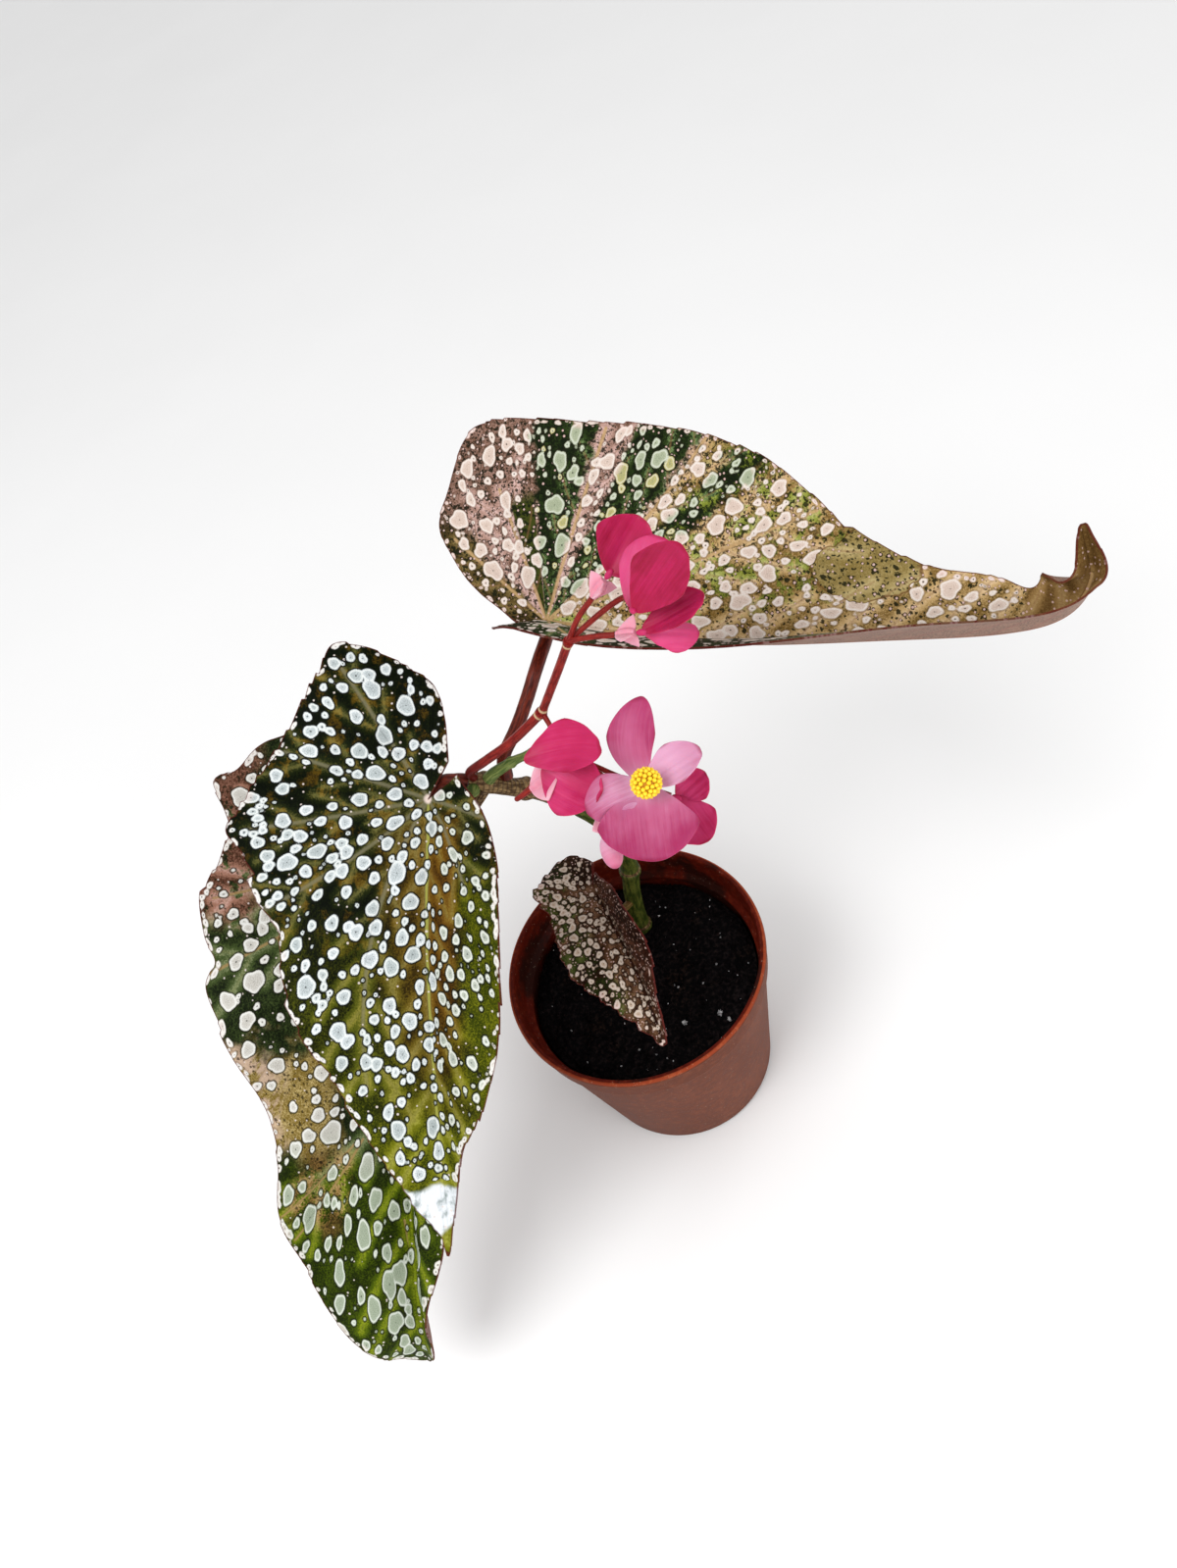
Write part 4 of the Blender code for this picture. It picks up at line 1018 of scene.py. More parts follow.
def upper_fill(paint, fields):
    green = green_sector(paint, fields)
    cool = paint.mix(srgb(170, 176, 150), srgb(184, 172, 108), fields["tint"].above(0.86, 0.88))
    return paint.mix(srgb(212, 196, 186), cool, green.least(1.0)), paint.mix(srgb(176, 152, 136), srgb(122, 134, 108), green.least(1.0))


def upper_outline(paint, fields):
    return green_sector(paint, fields).least(1.0) * 0.6 + 0.3


def small_ground(paint, fields):
    along, across = fields["along"], fields["across"]
    drift = fields["broad"] - 0.5
    colour = shade(paint, fields, srgb(24, 10, 2), srgb(74, 48, 30), srgb(130, 98, 74))
    left = (across + drift * 16).above(4, 10) * fields["patch"].above(0.42, 0.52)
    colour = paint.mix(colour, shade(paint, fields, srgb(22, 26, 4), srgb(48, 56, 18), srgb(84, 92, 46)), left)
    # Painted shade: the narrow half, right of the midrib, is painted a darker brown.
    right = (across + drift * 4).below(-3, -1)
    colour = paint.mix(colour, shade(paint, fields, srgb(26, 8, 2), srgb(58, 30, 20), srgb(88, 58, 44)), right * 0.95)
    rib = abs(across).below(0.3, 0.8) * along.above(0, 3)
    return paint.mix(colour, srgb(52, 28, 18), rib)


def small_fill(paint, fields):
    # Painted shade: the spots on the narrow half are painted darker, except close to the margin.
    dark = fields["across"].below(-4, -1) * (fields["inland"] + fields["along"].above(30, 50) * -3).above(0.8, 2.2)
    return paint.mix(srgb(196, 176, 156), srgb(140, 108, 92), dark), paint.mix(srgb(160, 132, 112), srgb(104, 74, 58), dark)


# Tries, least and most radius in millimetres and the gap kept, for each size of spot
FRONT_SIZES = ((420, 1.9, 2.8, 1.2), (1200, 1.3, 2.0, 0.7), (1500, 0.85, 1.3, 0.6), (1300, 0.45, 0.8, 0.6))
BACK_SIZES = ((500, 2.1, 3.6, 1.3), (900, 1.4, 2.2, 0.8), (1300, 0.8, 1.3, 0.8), (700, 0.45, 0.7, 0.6))
UPPER_SIZES = ((600, 1.8, 2.9, 0.9), (1300, 1.1, 1.8, 0.5), (2000, 0.65, 1.1, 0.4), (1800, 0.4, 0.65, 0.35))
SMALL_SIZES = ((420, 0.95, 1.35, 0.3), (1000, 0.6, 0.9, 0.28), (1000, 0.35, 0.55, 0.25))
EVEN = ((-60, 60), (1.0, 1.0))


def make_leaves():
    pinkish, mauve = srgb(208, 196, 190), srgb(208, 176, 168)
    brown, deep = srgb(122, 74, 56), srgb(84, 44, 34)
    black = srgb(12, 14, 8)
    front = [
        leaf_top("leaf_front", FRONT_VEINS, front_ground, front_fill, pinkish, black, 0.9,
                 (2.6, 0.18, 0.34, 0.25), 0.5, front_bare),
        leaf_under("leaf_front", FRONT_VEINS, deep, brown),
    ]
    spots = (FRONT_SIZES, ((0, 120), (1.2, 1.4)), ((-25, -3, 6), (0.62, 0.75, 1.0)), 3, (2.1, 0.35, 1.15, 0.7))
    make_leaf("front", FRONT_OUTLINE, FRONT_VEINS, (7, 1.6), (12, 1.5, 60, 1.3), (13, 42, 1), spots, 0.07, front)
    back = [
        leaf_top("leaf_back", BACK_VEINS, back_ground, back_fill, pinkish, srgb(22, 24, 10), 0.8, (3.0, 0.18, 0.34, 0.25)),
        leaf_under("leaf_back", BACK_VEINS, deep, brown),
    ]
    spots = (BACK_SIZES, ((0, 80, 108, 140, 170), (1.15, 1.2, 2.4, 2.0, 1.3)), EVEN, 8, (2.6, 0.5, 1.5, 0.7))
    make_leaf("back", BACK_OUTLINE, BACK_VEINS, (9, 2.6), (12, 1.0, 44, 1.0), (16, 40, 2), spots, 0.09, back)
    upper = [
        leaf_top("leaf_upper", UPPER_VEINS, upper_ground, upper_fill, mauve, srgb(24, 24, 10), upper_outline,
                 (1.9, 0.2, 0.34, 0.5), 0.3, upper_bare),
        leaf_under("leaf_upper", UPPER_VEINS, srgb(96, 68, 52), srgb(150, 112, 92)),
    ]
    spots = (UPPER_SIZES, ((0, 160), (1.25, 1.5)), EVEN, 11, (3.0, 0.4, 0.9, 0.6))
    make_leaf("upper", UPPER_OUTLINE, UPPER_VEINS, (8, 1.4), (12, 0.8, 60, 0.8), (11, 45, 3), spots, 0.11, upper)
    small = [
        leaf_top("leaf_small", SMALL_VEINS, small_ground, small_fill, mauve, srgb(30, 16, 10), 0.8,
                 (1.2, 0.14, 0.24, 0.6), 0.3),
        leaf_under("leaf_small", SMALL_VEINS, deep, brown),
    ]
    spots = (SMALL_SIZES, ((0, 60), (1.1, 1.2)), ((-20, -8, -1, 6), (0.7, 0.35, 0.6, 1.1)), 17, (1.7, 0.3, 0.6, 0.6))
    make_leaf("small", SMALL_OUTLINE, SMALL_VEINS, (6, 0.9), (24, 1.6, 50, 1.0), (6, 45, 4), spots, 0.12, small)


# Stems


def stem_paint(name, dark, light, streak, scar, roughness=0.42):
    """Skin of a stalk: streaks along it, small pale pores and darker blotches. Kind 1 is scar tissue."""
    paint = Paint(name, roughness, 0.16)
    place, turn, kind = paint.attribute("stem")
    around = paint.vector(place * 0.25, paint.math("COSINE", turn) * 2.4, paint.math("SINE", turn) * 2.4)
    long = paint.noise(around, 1.2, 4.0, 0.6)
    colour = paint.mix(dark, light, long.above(0.36, 0.66))
    fine = paint.noise(paint.place(), 1800, 3.0, 0.6)
    colour = paint.mix(colour, streak, fine.above(0.62, 0.74) * 0.6)
    colour = paint.mix(colour, scar, kind.above(0.2, 0.8))
    colour = paint.mix(colour, srgb(64, 16, 14), kind.below(-1.0, 0.0) * 0.8)
    height = long * 0.6 + fine * 0.4
    return paint.finish(colour, height, 0.4, 0.0004)


def cane_line(count):
    line = resample(smooth(CANE_ROUTE, 12), count)
    at = distances(line)
    radii = CANE_RADIUS + (CANE_TIP_RADIUS - CANE_RADIUS) * at / at[-1]
    for node in CANE_NODES:
        radii += NODE_SWELL * np.exp(-(((at - node * at[-1]) / NODE_WIDTH) ** 2))
    return line, radii


def off_the_skin(route, radius):
    """The route with its first point moved out along it, into the skin of what bears it."""
    start, after = np.array(route[0], float), np.array(route[1], float)
    return [start + unit(after - start) * radius, after] + [np.array(p, float) for p in route[2:]]


def make_cane():
    line, radii = cane_line(240)
    at = distances(line)
    for node in CANE_NODES:
        radii -= 0.35 * np.exp(-(((at - node * at[-1] - 1.2) / 0.5) ** 2))
    pieces = [tube(line, radii, 32, 0.03, 3)]
    tip = np.clip((at - 0.76 * at[-1]) / (0.05 * at[-1]), 0, 1)
    pieces[0][2][:, 2] = np.repeat(tip, 32) * 0.5
    for place in CANE_NODES:
        ring = np.exp(-(((at - place * at[-1] - 1.2) / 0.45) ** 2))
        pieces[0][2][:, 2] = np.maximum(pieces[0][2][:, 2], np.repeat(ring, 32))
    shoot = resample(smooth(SHOOT_ROUTE, 8), 60)
    widths = np.linspace(SHOOT_RADIUS, SHOOT_TIP_RADIUS, 60)
    widths += 0.35 * np.exp(-(((np.arange(60) - 34) / 2.0) ** 2))
    widths[-4:] *= (0.95, 0.8, 0.55, 0.2)
    pieces.append(tube(shoot, widths, 24, 0.02, 5, -1.0))
    stub = resample(smooth(STUB_ROUTE, 6), 30)
    pieces.append(tube(stub, np.full(30, STUB_RADIUS), 24, 0.05, 6, 0.6))
    foot, tip_point = np.array(BUD_ROUTE)
    share = np.linspace(-0.99, 0.99, 24)
    bud_line = (foot + tip_point) / 2 + share[:, None] * (tip_point - foot) / 2
    pieces.append(tube(bud_line, BUD_RADIUS * np.sqrt(1 - share**2) * (1 - 0.25 * share), 24, 0.05, 7, -0.8))
    points, faces, values = join("cane", pieces)
    paint = Paint("cane_skin_painted", 0.5, 0.12)
    place, turn, kind = paint.attribute("stem")
    around = paint.vector(place * 0.16, paint.math("COSINE", turn) * 2.0, paint.math("SINE", turn) * 2.0)
    long = paint.noise(around, 1.6, 4.0, 0.6)
    fine = paint.noise(paint.place(), 900, 4.0, 0.65)
    colour = paint.mix(srgb(38, 50, 12), srgb(84, 88, 34), long.above(0.38, 0.66))
    colour = paint.mix(colour, srgb(54, 34, 14), fine.above(0.54, 0.68) * 0.6)
    bark = paint.mix(srgb(72, 50, 28), srgb(138, 112, 76), long.above(0.42, 0.6))
    colour = paint.mix(colour, bark, kind.above(0.1, 0.6))
    young = paint.mix(srgb(62, 84, 34), srgb(118, 128, 70), long.above(0.36, 0.66))
    colour = paint.mix(colour, young, kind.below(-0.7, -0.2))
    ribs = paint.math("SINE", place * 4.6 + long * 5 + paint.math("SINE", turn) * 1.6) * kind.above(0.1, 0.6)
    colour = paint.mix(colour, srgb(52, 32, 16), ribs.above(0.3, 0.9) * 0.65)
    material = paint.finish(colour, long * 0.6 + fine * 0.5 + ribs * 0.35, 0.6, 0.0006)
    cane = add_object("cane_stem", points, faces, [material], {"stem": values})
    finish(cane, ["cane"], 60, turn_outwards=False)


def make_leaf_stalk(side, route, radius, start, under_by, material):
    """The stalk from its seat on the cane to the foot of the midrib under the leaf."""
    under = [BLADES[side].place(0.0, 0.0, -rise) for rise in (STALK_LEAD, under_by)]
    line = resample(smooth(off_the_skin(route, start) + under, 8), 90)
    at = distances(line)
    radii = radius * (1 + 0.16 * np.exp(-(at / 3.0) ** 2) + 0.1 * np.exp(-((at[-1] - at) / 3.0) ** 2))
    points, faces, values = tube(line, radii, 28, 0.02, 11)
    stalk = add_object("stalk_%s_skin" % side, points, faces, [material], {"stem": values})
    finish(stalk, ["stalk_" + side], 60, turn_outwards=False)


def make_leaf_stalks():
    maroon = stem_paint("leaf_stalk_painted", srgb(58, 14, 8), srgb(104, 36, 20), srgb(128, 60, 34), srgb(150, 120, 80))
    brown = stem_paint("small_stalk_painted", srgb(74, 50, 26), srgb(110, 88, 46), srgb(140, 110, 70), srgb(150, 120, 80))
    make_leaf_stalk("front", FRONT_STALK, LEAF_STALK_RADIUS, 0.3, 0.8, maroon)
    make_leaf_stalk("back", BACK_STALK, LEAF_STALK_RADIUS, 0.3, 1.2, maroon)
    make_leaf_stalk("upper", UPPER_STALK, LEAF_STALK_RADIUS, 3.0, 0.9, maroon)
    make_leaf_stalk("small", SMALL_STALK, SMALL_STALK_RADIUS, 3.0, 0.6, brown)


def along_bloom(bloom):
    """Upper and lower end of the seed case and the end of the stalk, in line with the last stalk point."""
    base, before = np.array(bloom["base"], float), np.array(bloom["stalk"][-1], float)
    ahead = unit(base - before)
    inside = HUB_RADIUS if "tepals" in bloom else BUD_SIZE[1]
    high = base - ahead * (inside + GAP)
    if "ovary" not in bloom:
        return high, high, high
    low = high - ahead * bloom["ovary"][0]
    return high, low, low - ahead * GAP


def make_flower_stalks():
    main = off_the_skin(MAIN_STALK, 2.8)
    routes = [(main, MAIN_STALK_RADIUS), (FORK_STALK, FORK_STALK_RADIUS)]
    for bloom in BLOOMS.values():
        _, _, end = along_bloom(bloom)
        routes.append((list(bloom["stalk"]) + [end], BLOOM_STALK_RADIUS))
    forks = np.array([(10, -3, 204), (23, -13, 231)], float)
    pieces = []
    for k, (route, radius) in enumerate(routes):
        line = resample(smooth(route, 8), 70)
        near = np.min([np.linalg.norm(line - fork, axis=1) for fork in forks], axis=0)
        radii = radius * (1 + 0.25 * np.exp(-((near / 1.6) ** 2)))
        piece = tube(line, radii, 20, 0.02, 20 + k)
        scar = np.exp(-(((near - 1.5) / 0.45) ** 2)) if k < 2 else np.zeros(70)
        if k == 0:
            scar -= np.exp(-((distances(line) / 14.0) ** 2))
        piece[2][:, 2] = np.repeat(scar, 20)
        pieces.append(piece)
    points, faces, values = join("flower_stalks", pieces)
    red = stem_paint("flower_stalk_painted", srgb(98, 14, 12), srgb(146, 38, 30), srgb(176, 80, 60), srgb(196, 168, 130), 0.36)
    stalks = add_object("flower_stalks_skin", points, faces, [red], {"stem": values})
    finish(stalks, ["flower_stalks"], 60, turn_outwards=False)


# Blooms


def seen(right, up, out):
    return right * np.array(SEEN_RIGHT) + up * np.array(SEEN_UP) + out * np.array(TOWARDS_VIEW)


def tepal(base, angle, tilt, roll, length, width, cup, curl, lean, tone, start, spokes=64, rings=18):
    """One petal-like blade as (points, faces, values). Values are share along, share across and tone."""
    angle, tilt, roll = math.radians(angle), math.radians(tilt), math.radians(roll)
    flat = seen(math.cos(angle), math.sin(angle), 0)
    ahead = math.cos(tilt) * flat + math.sin(tilt) * seen(0, 0, 1)
    inner = math.cos(tilt) * seen(0, 0, 1) - math.sin(tilt) * flat
    side = np.cross(inner, ahead)
    inner, side = inner * math.cos(roll) + side * math.sin(roll), side * math.cos(roll) - inner * math.sin(roll)
    turn = math.radians(curl) / length + 1e-5
    phase = np.random.default_rng(int(length * 10 + width)).uniform(0, 2 * math.pi, 3)
    out, spoke = np.meshgrid(np.arange(1, rings + 1) / rings, np.arange(spokes) * 2 * math.pi / spokes, indexing="ij")
    out, spoke = np.append(0.0, out.ravel()), np.append(0.0, spoke.ravel())
    x = length * (0.5 - 0.5 * out * np.cos(spoke))
    share = x / length
    narrowing = (0.55 + 0.45 * np.minimum(1, 1.7 * share)) * (1 - 0.12 * share**5)
    y = 0.5 * width * out * np.sin(spoke) * narrowing
    breadth = 2 * y / width
    along, rise = np.sin(turn * x) / turn, (1 - np.cos(turn * x)) / turn
    up = np.cos(turn * x)[:, None] * inner - np.sin(turn * x)[:, None] * ahead
    ruffle = 0.25 * out**4 * np.sin(4 * spoke + phase[0]) + 0.12 * out**6 * np.sin(11 * spoke + phase[1])
    crease = -0.45 * np.exp(-((breadth / 0.12) ** 2)) * np.clip(share * 3, 0, 1) * (1 - share)
    pleats = 0.07 * np.sin(breadth * 17 + phase[2]) * np.clip(share * 2, 0, 1)
    lift = cup * breadth**2 + ruffle + crease + pleats
    points = np.array(base) + seen(*start) + along[:, None] * ahead + rise[:, None] * inner
    points = points + (y + lean * (share**2 - share))[:, None] * side + lift[:, None] * up
    values = np.column_stack([share, breadth, np.full(len(share), tone)])
    faces = [(0, 1 + j, 1 + (j + 1) % spokes) for j in range(spokes)]
    for ring in range(rings - 1):
        a, b = 1 + ring * spokes, 1 + (ring + 1) * spokes
        for j in range(spokes):
            k = (j + 1) % spokes
            faces += [(a + j, b + j, b + k), (a + j, b + k, a + k)]
    faces = np.array(faces)
    normals = vertex_normals(points, faces)
    thin = np.where(out > 0.97, 0.5, 1.0)[:, None]
    upper, lower = points + normals * thin * TEPAL / 2, points - normals * thin * TEPAL / 2
    count = len(points)
    last = 1 + (rings - 1) * spokes + np.arange(spokes)
    solid = faces.tolist() + (faces[:, ::-1] + count).tolist()
    for a, b in zip(last.tolist(), np.roll(last, -1).tolist()):
        solid += [(a, a + count, b + count), (a, b + count, b)]
    return np.vstack([upper, lower]), solid, np.vstack([values, values])


def ball(centre, radius, stretch=None, rings=16, sides=24, values=(0.0, 0.0, 0.0)):
    share = np.linspace(-0.99, 0.99, rings)
    direction = np.array((0.0, 0.0, radius)) if stretch is None else np.array(stretch, float)
    line = np.array(centre) + share[:, None] * direction
    points, faces, _ = tube(line, radius * np.sqrt(1 - share**2), sides)
    return points, faces, np.tile(values, (len(points), 1))


def tepal_paint(name, spread, foot, deep, middle, pale, light):
    """Satin petal skin: streaks that fan out from its foot, a deeper rim, and lighter for a higher tone."""
    paint = Paint(name, 0.42, 0.15)
    along, across, tone = paint.attribute("petal")
    fan = paint.vector(along * 0.9, across * 6.0, tone * 9.0)
    streak = paint.noise(fan, 2.4, 5.0, 0.65)
    cloud = paint.noise(paint.place(), 140, 2.0, 0.5)
    inner = (1 - abs(across)).most(0.0)
    veins = paint.noise(paint.vector(along * 0.5, across * 16.0, tone * 9.0), 2.0, 2.0, 0.5)
    level = tone * 0.9 + (0.45 - along) * spread + (streak - 0.5) * 0.28 + (cloud - 0.5) * 0.4 + inner * 0.1 + (veins - 0.5) * 0.16
    colour = paint.mix(deep, middle, level.above(-0.05, 0.30))
    colour = paint.mix(colour, pale, level.above(0.28, 0.62))
    colour = paint.mix(colour, light, level.above(0.60, 0.98))
    colour = paint.mix(colour, middle, along.above(0.45, 1.0) * 0.35)
    rim = abs(across).above(0.86, 1.0) * along.above(0.2, 0.5) + along.above(0.93, 1.0)
    colour = paint.mix(colour, deep, rim.least(1.0) * 0.7)
    colour = paint.mix(colour, foot, along.below(0.02, 0.34) * 0.6)
    sparkle = paint.noise(paint.place(), 2600, 2.0, 0.5)
    colour = paint.mix(colour, pale, sparkle.above(0.64, 0.78) * 0.25)
    material = paint.finish(colour, streak * 0.4 + veins * 0.3 + sparkle * 0.3, 0.25, 0.0003)
    paint.shader.inputs["Subsurface Weight"].default_value = 0.12
    paint.shader.inputs["Subsurface Scale"].default_value = 0.0015
    return material


def make_ovary(name, low, high, core, wing, turn, material):
    """The swollen seed case with its three thin pointed wings, one larger than the others."""
    sides, rings = 150, 40
    share = np.linspace(0, 1, rings)
    line = low + share[:, None] * (high - low)
    _, across, other = ring_frames(line)
    angle = np.linspace(0, 2 * math.pi, sides, endpoint=False)
    lobes = (0.5 + 0.5 * np.cos(3 * angle + math.radians(turn))) ** 22
    size = 0.8 + 0.35 * np.cos(angle + math.radians(turn) / 3)
    points, values = [], []
    for t, centre, a, b in zip(share, line, across, other):
        body = core * (0.38 + 0.5 * math.sin(math.pi * (0.1 + 0.75 * t)))
        flare = max(0.0, 1 - abs(t - 0.72) / (0.72 if t < 0.72 else 0.34)) ** 0.75
        reach = body + wing * size * lobes * flare
        sweep = 0.16 * lobes * wing * flare
        spot = centre + np.outer(reach * np.cos(angle), a) + np.outer(reach * np.sin(angle), b)
        points.append(spot + sweep[:, None] * unit(high - low))
        values.append(np.stack([np.full(sides, 0.3 + 0.4 * t), lobes * 0.9, 0.45 + 0.35 * lobes], axis=-1))
    solid = ring_faces(rings, sides)
    case = add_object(name + "_case", np.vstack(points), solid, [material], {"petal": np.vstack(values)})
    finish(case, [name], 70)


def make_stamens(name, centre, radius, material):
    """The cushion of stamens: small yellow clubs that stand out from a core, by a golden-angle rule."""
    axis, right, up = seen(0, 0, 1), seen(1, 0, 0), seen(0, 1, 0)
    pieces = [ball(centre, radius * 0.72, axis * radius * 0.6)]
    count = 70
    for k in range(count):
        tip = math.acos(1 - 1.55 * (k + 0.5) / count)
        around = k * math.pi * (3 - math.sqrt(5))
        out = math.sin(tip) * (math.cos(around) * right + math.sin(around) * up) + 0.85 * math.cos(tip) * axis
        start, end = np.array(centre) + 0.45 * radius * out, np.array(centre) + 1.0 * radius * out
        line = start + np.linspace(0, 1, 9)[:, None] * (end - start)
        radii = np.array((0.26, 0.26, 0.28, 0.34, 0.48, 0.56, 0.56, 0.44, 0.12)) * radius / 4
        points, faces, values = tube(line, radii, 10)
        values = np.column_stack([np.repeat(np.linspace(0, 1, 9), 10), np.full(90, k / count), np.zeros(90)])
        pieces.append((points, faces, values))
    points, faces, values = join(name, pieces)
    thing = add_object(name + "_clubs", points, faces, [material], {"petal": values})
    finish(thing, [name], 60, turn_outwards=False)


def make_blooms():
    hot = tepal_paint("hot_tepal", 0.12, srgb(140, 14, 40), srgb(136, 8, 42), srgb(178, 32, 84), srgb(202, 68, 120), srgb(224, 134, 170))
    soft = tepal_paint("soft_tepal", 0.34, srgb(206, 160, 186), srgb(128, 16, 58), srgb(158, 46, 92), srgb(180, 92, 130), srgb(208, 158, 188))
    wing = tepal_paint("ovary_wings", 0.0, srgb(206, 150, 156), srgb(172, 46, 76), srgb(204, 100, 126), srgb(222, 156, 174), srgb(238, 212, 220))
    bud = tepal_paint("pale_bud", 0.0, srgb(206, 140, 164), srgb(168, 66, 98), srgb(198, 116, 144), srgb(214, 158, 184), srgb(236, 208, 222))
    yellow = Paint("stamens_painted", 0.55, 0.3)
    along, which, _ = yellow.attribute("petal")
    tone = yellow.mix(srgb(196, 132, 14), srgb(246, 208, 40), along.above(0.3, 0.8))
    yellow.finish(yellow.mix(tone, srgb(252, 226, 96), which * 0.3))
    for letter, bloom in BLOOMS.items():
        name = "bloom_" + letter
        high, low, _ = along_bloom(bloom)
        if "tepals" in bloom:
            ahead = unit(np.array(bloom["base"]) - high)
            pieces = [ball(bloom["base"], 0.8, ahead * HUB_RADIUS, values=(0.5, 0.0, 0.3))]
            pieces += [tepal(bloom["base"], *numbers) for numbers in bloom["tepals"]]
            points, faces, values = join(name, pieces)
            material, slot = (soft, "soft_tepal_skin") if letter == "e" else (hot, "hot_tepal_skin")
            thing = add_object(name + "_petals", points, faces, [material], {"petal": values})
            finish(thing, [name + "_tepals"], 60, turn_outwards=False)
        else:
            points, faces, values = ball(bloom["base"], BUD_SIZE[0], unit(high - low) * BUD_SIZE[1], 30, 36)
            share = np.repeat(np.linspace(0.25, 1, 30), 36)
            values = np.column_stack([share, np.zeros(len(share)), 1.1 - share])
            thing = add_object(name + "_bud_skin", points, faces, [bud], {"petal": values})
            finish(thing, [name + "_bud"], 60, turn_outwards=False)
        if "ovary" in bloom:
            _, core, wings, turn = bloom["ovary"]
            make_ovary(name + "_ovary", low, high, core, wings, turn, wing)
        if "stamens" in bloom:
            make_stamens(name + "_stamens", bloom["stamens"], STAMENS_RADIUS, yellow.material)


# Pot and soil


def wall_radius(height):
    band_low = POT_HEIGHT - RIM_BAND
    body_top = RIM_RADIUS - RIM_STEP - BAND_STEP
    return BASE_RADIUS + (body_top - BASE_RADIUS) * height / band_low


def inner_radius(height):
    return wall_radius(height) - WALL


def eased(profile, cut_by):
    """The profile with each corner between its ends replaced by three points, up to cut_by from it."""
    made = [profile[0]]
    for before, corner, after in zip(profile, profile[1:], profile[2:]):
        before, corner, after = (np.array(p, float) for p in (before, corner, after))
        back, ahead = before - corner, after - corner
        reach = min(cut_by, 0.4 * np.linalg.norm(back), 0.4 * np.linalg.norm(ahead))
        first, last = corner + unit(back) * reach, corner + unit(ahead) * reach
        middle = (first + last) / 4 + corner / 2
        made += [tuple(first), tuple(middle), tuple(last)]
    return made + [profile[-1]]


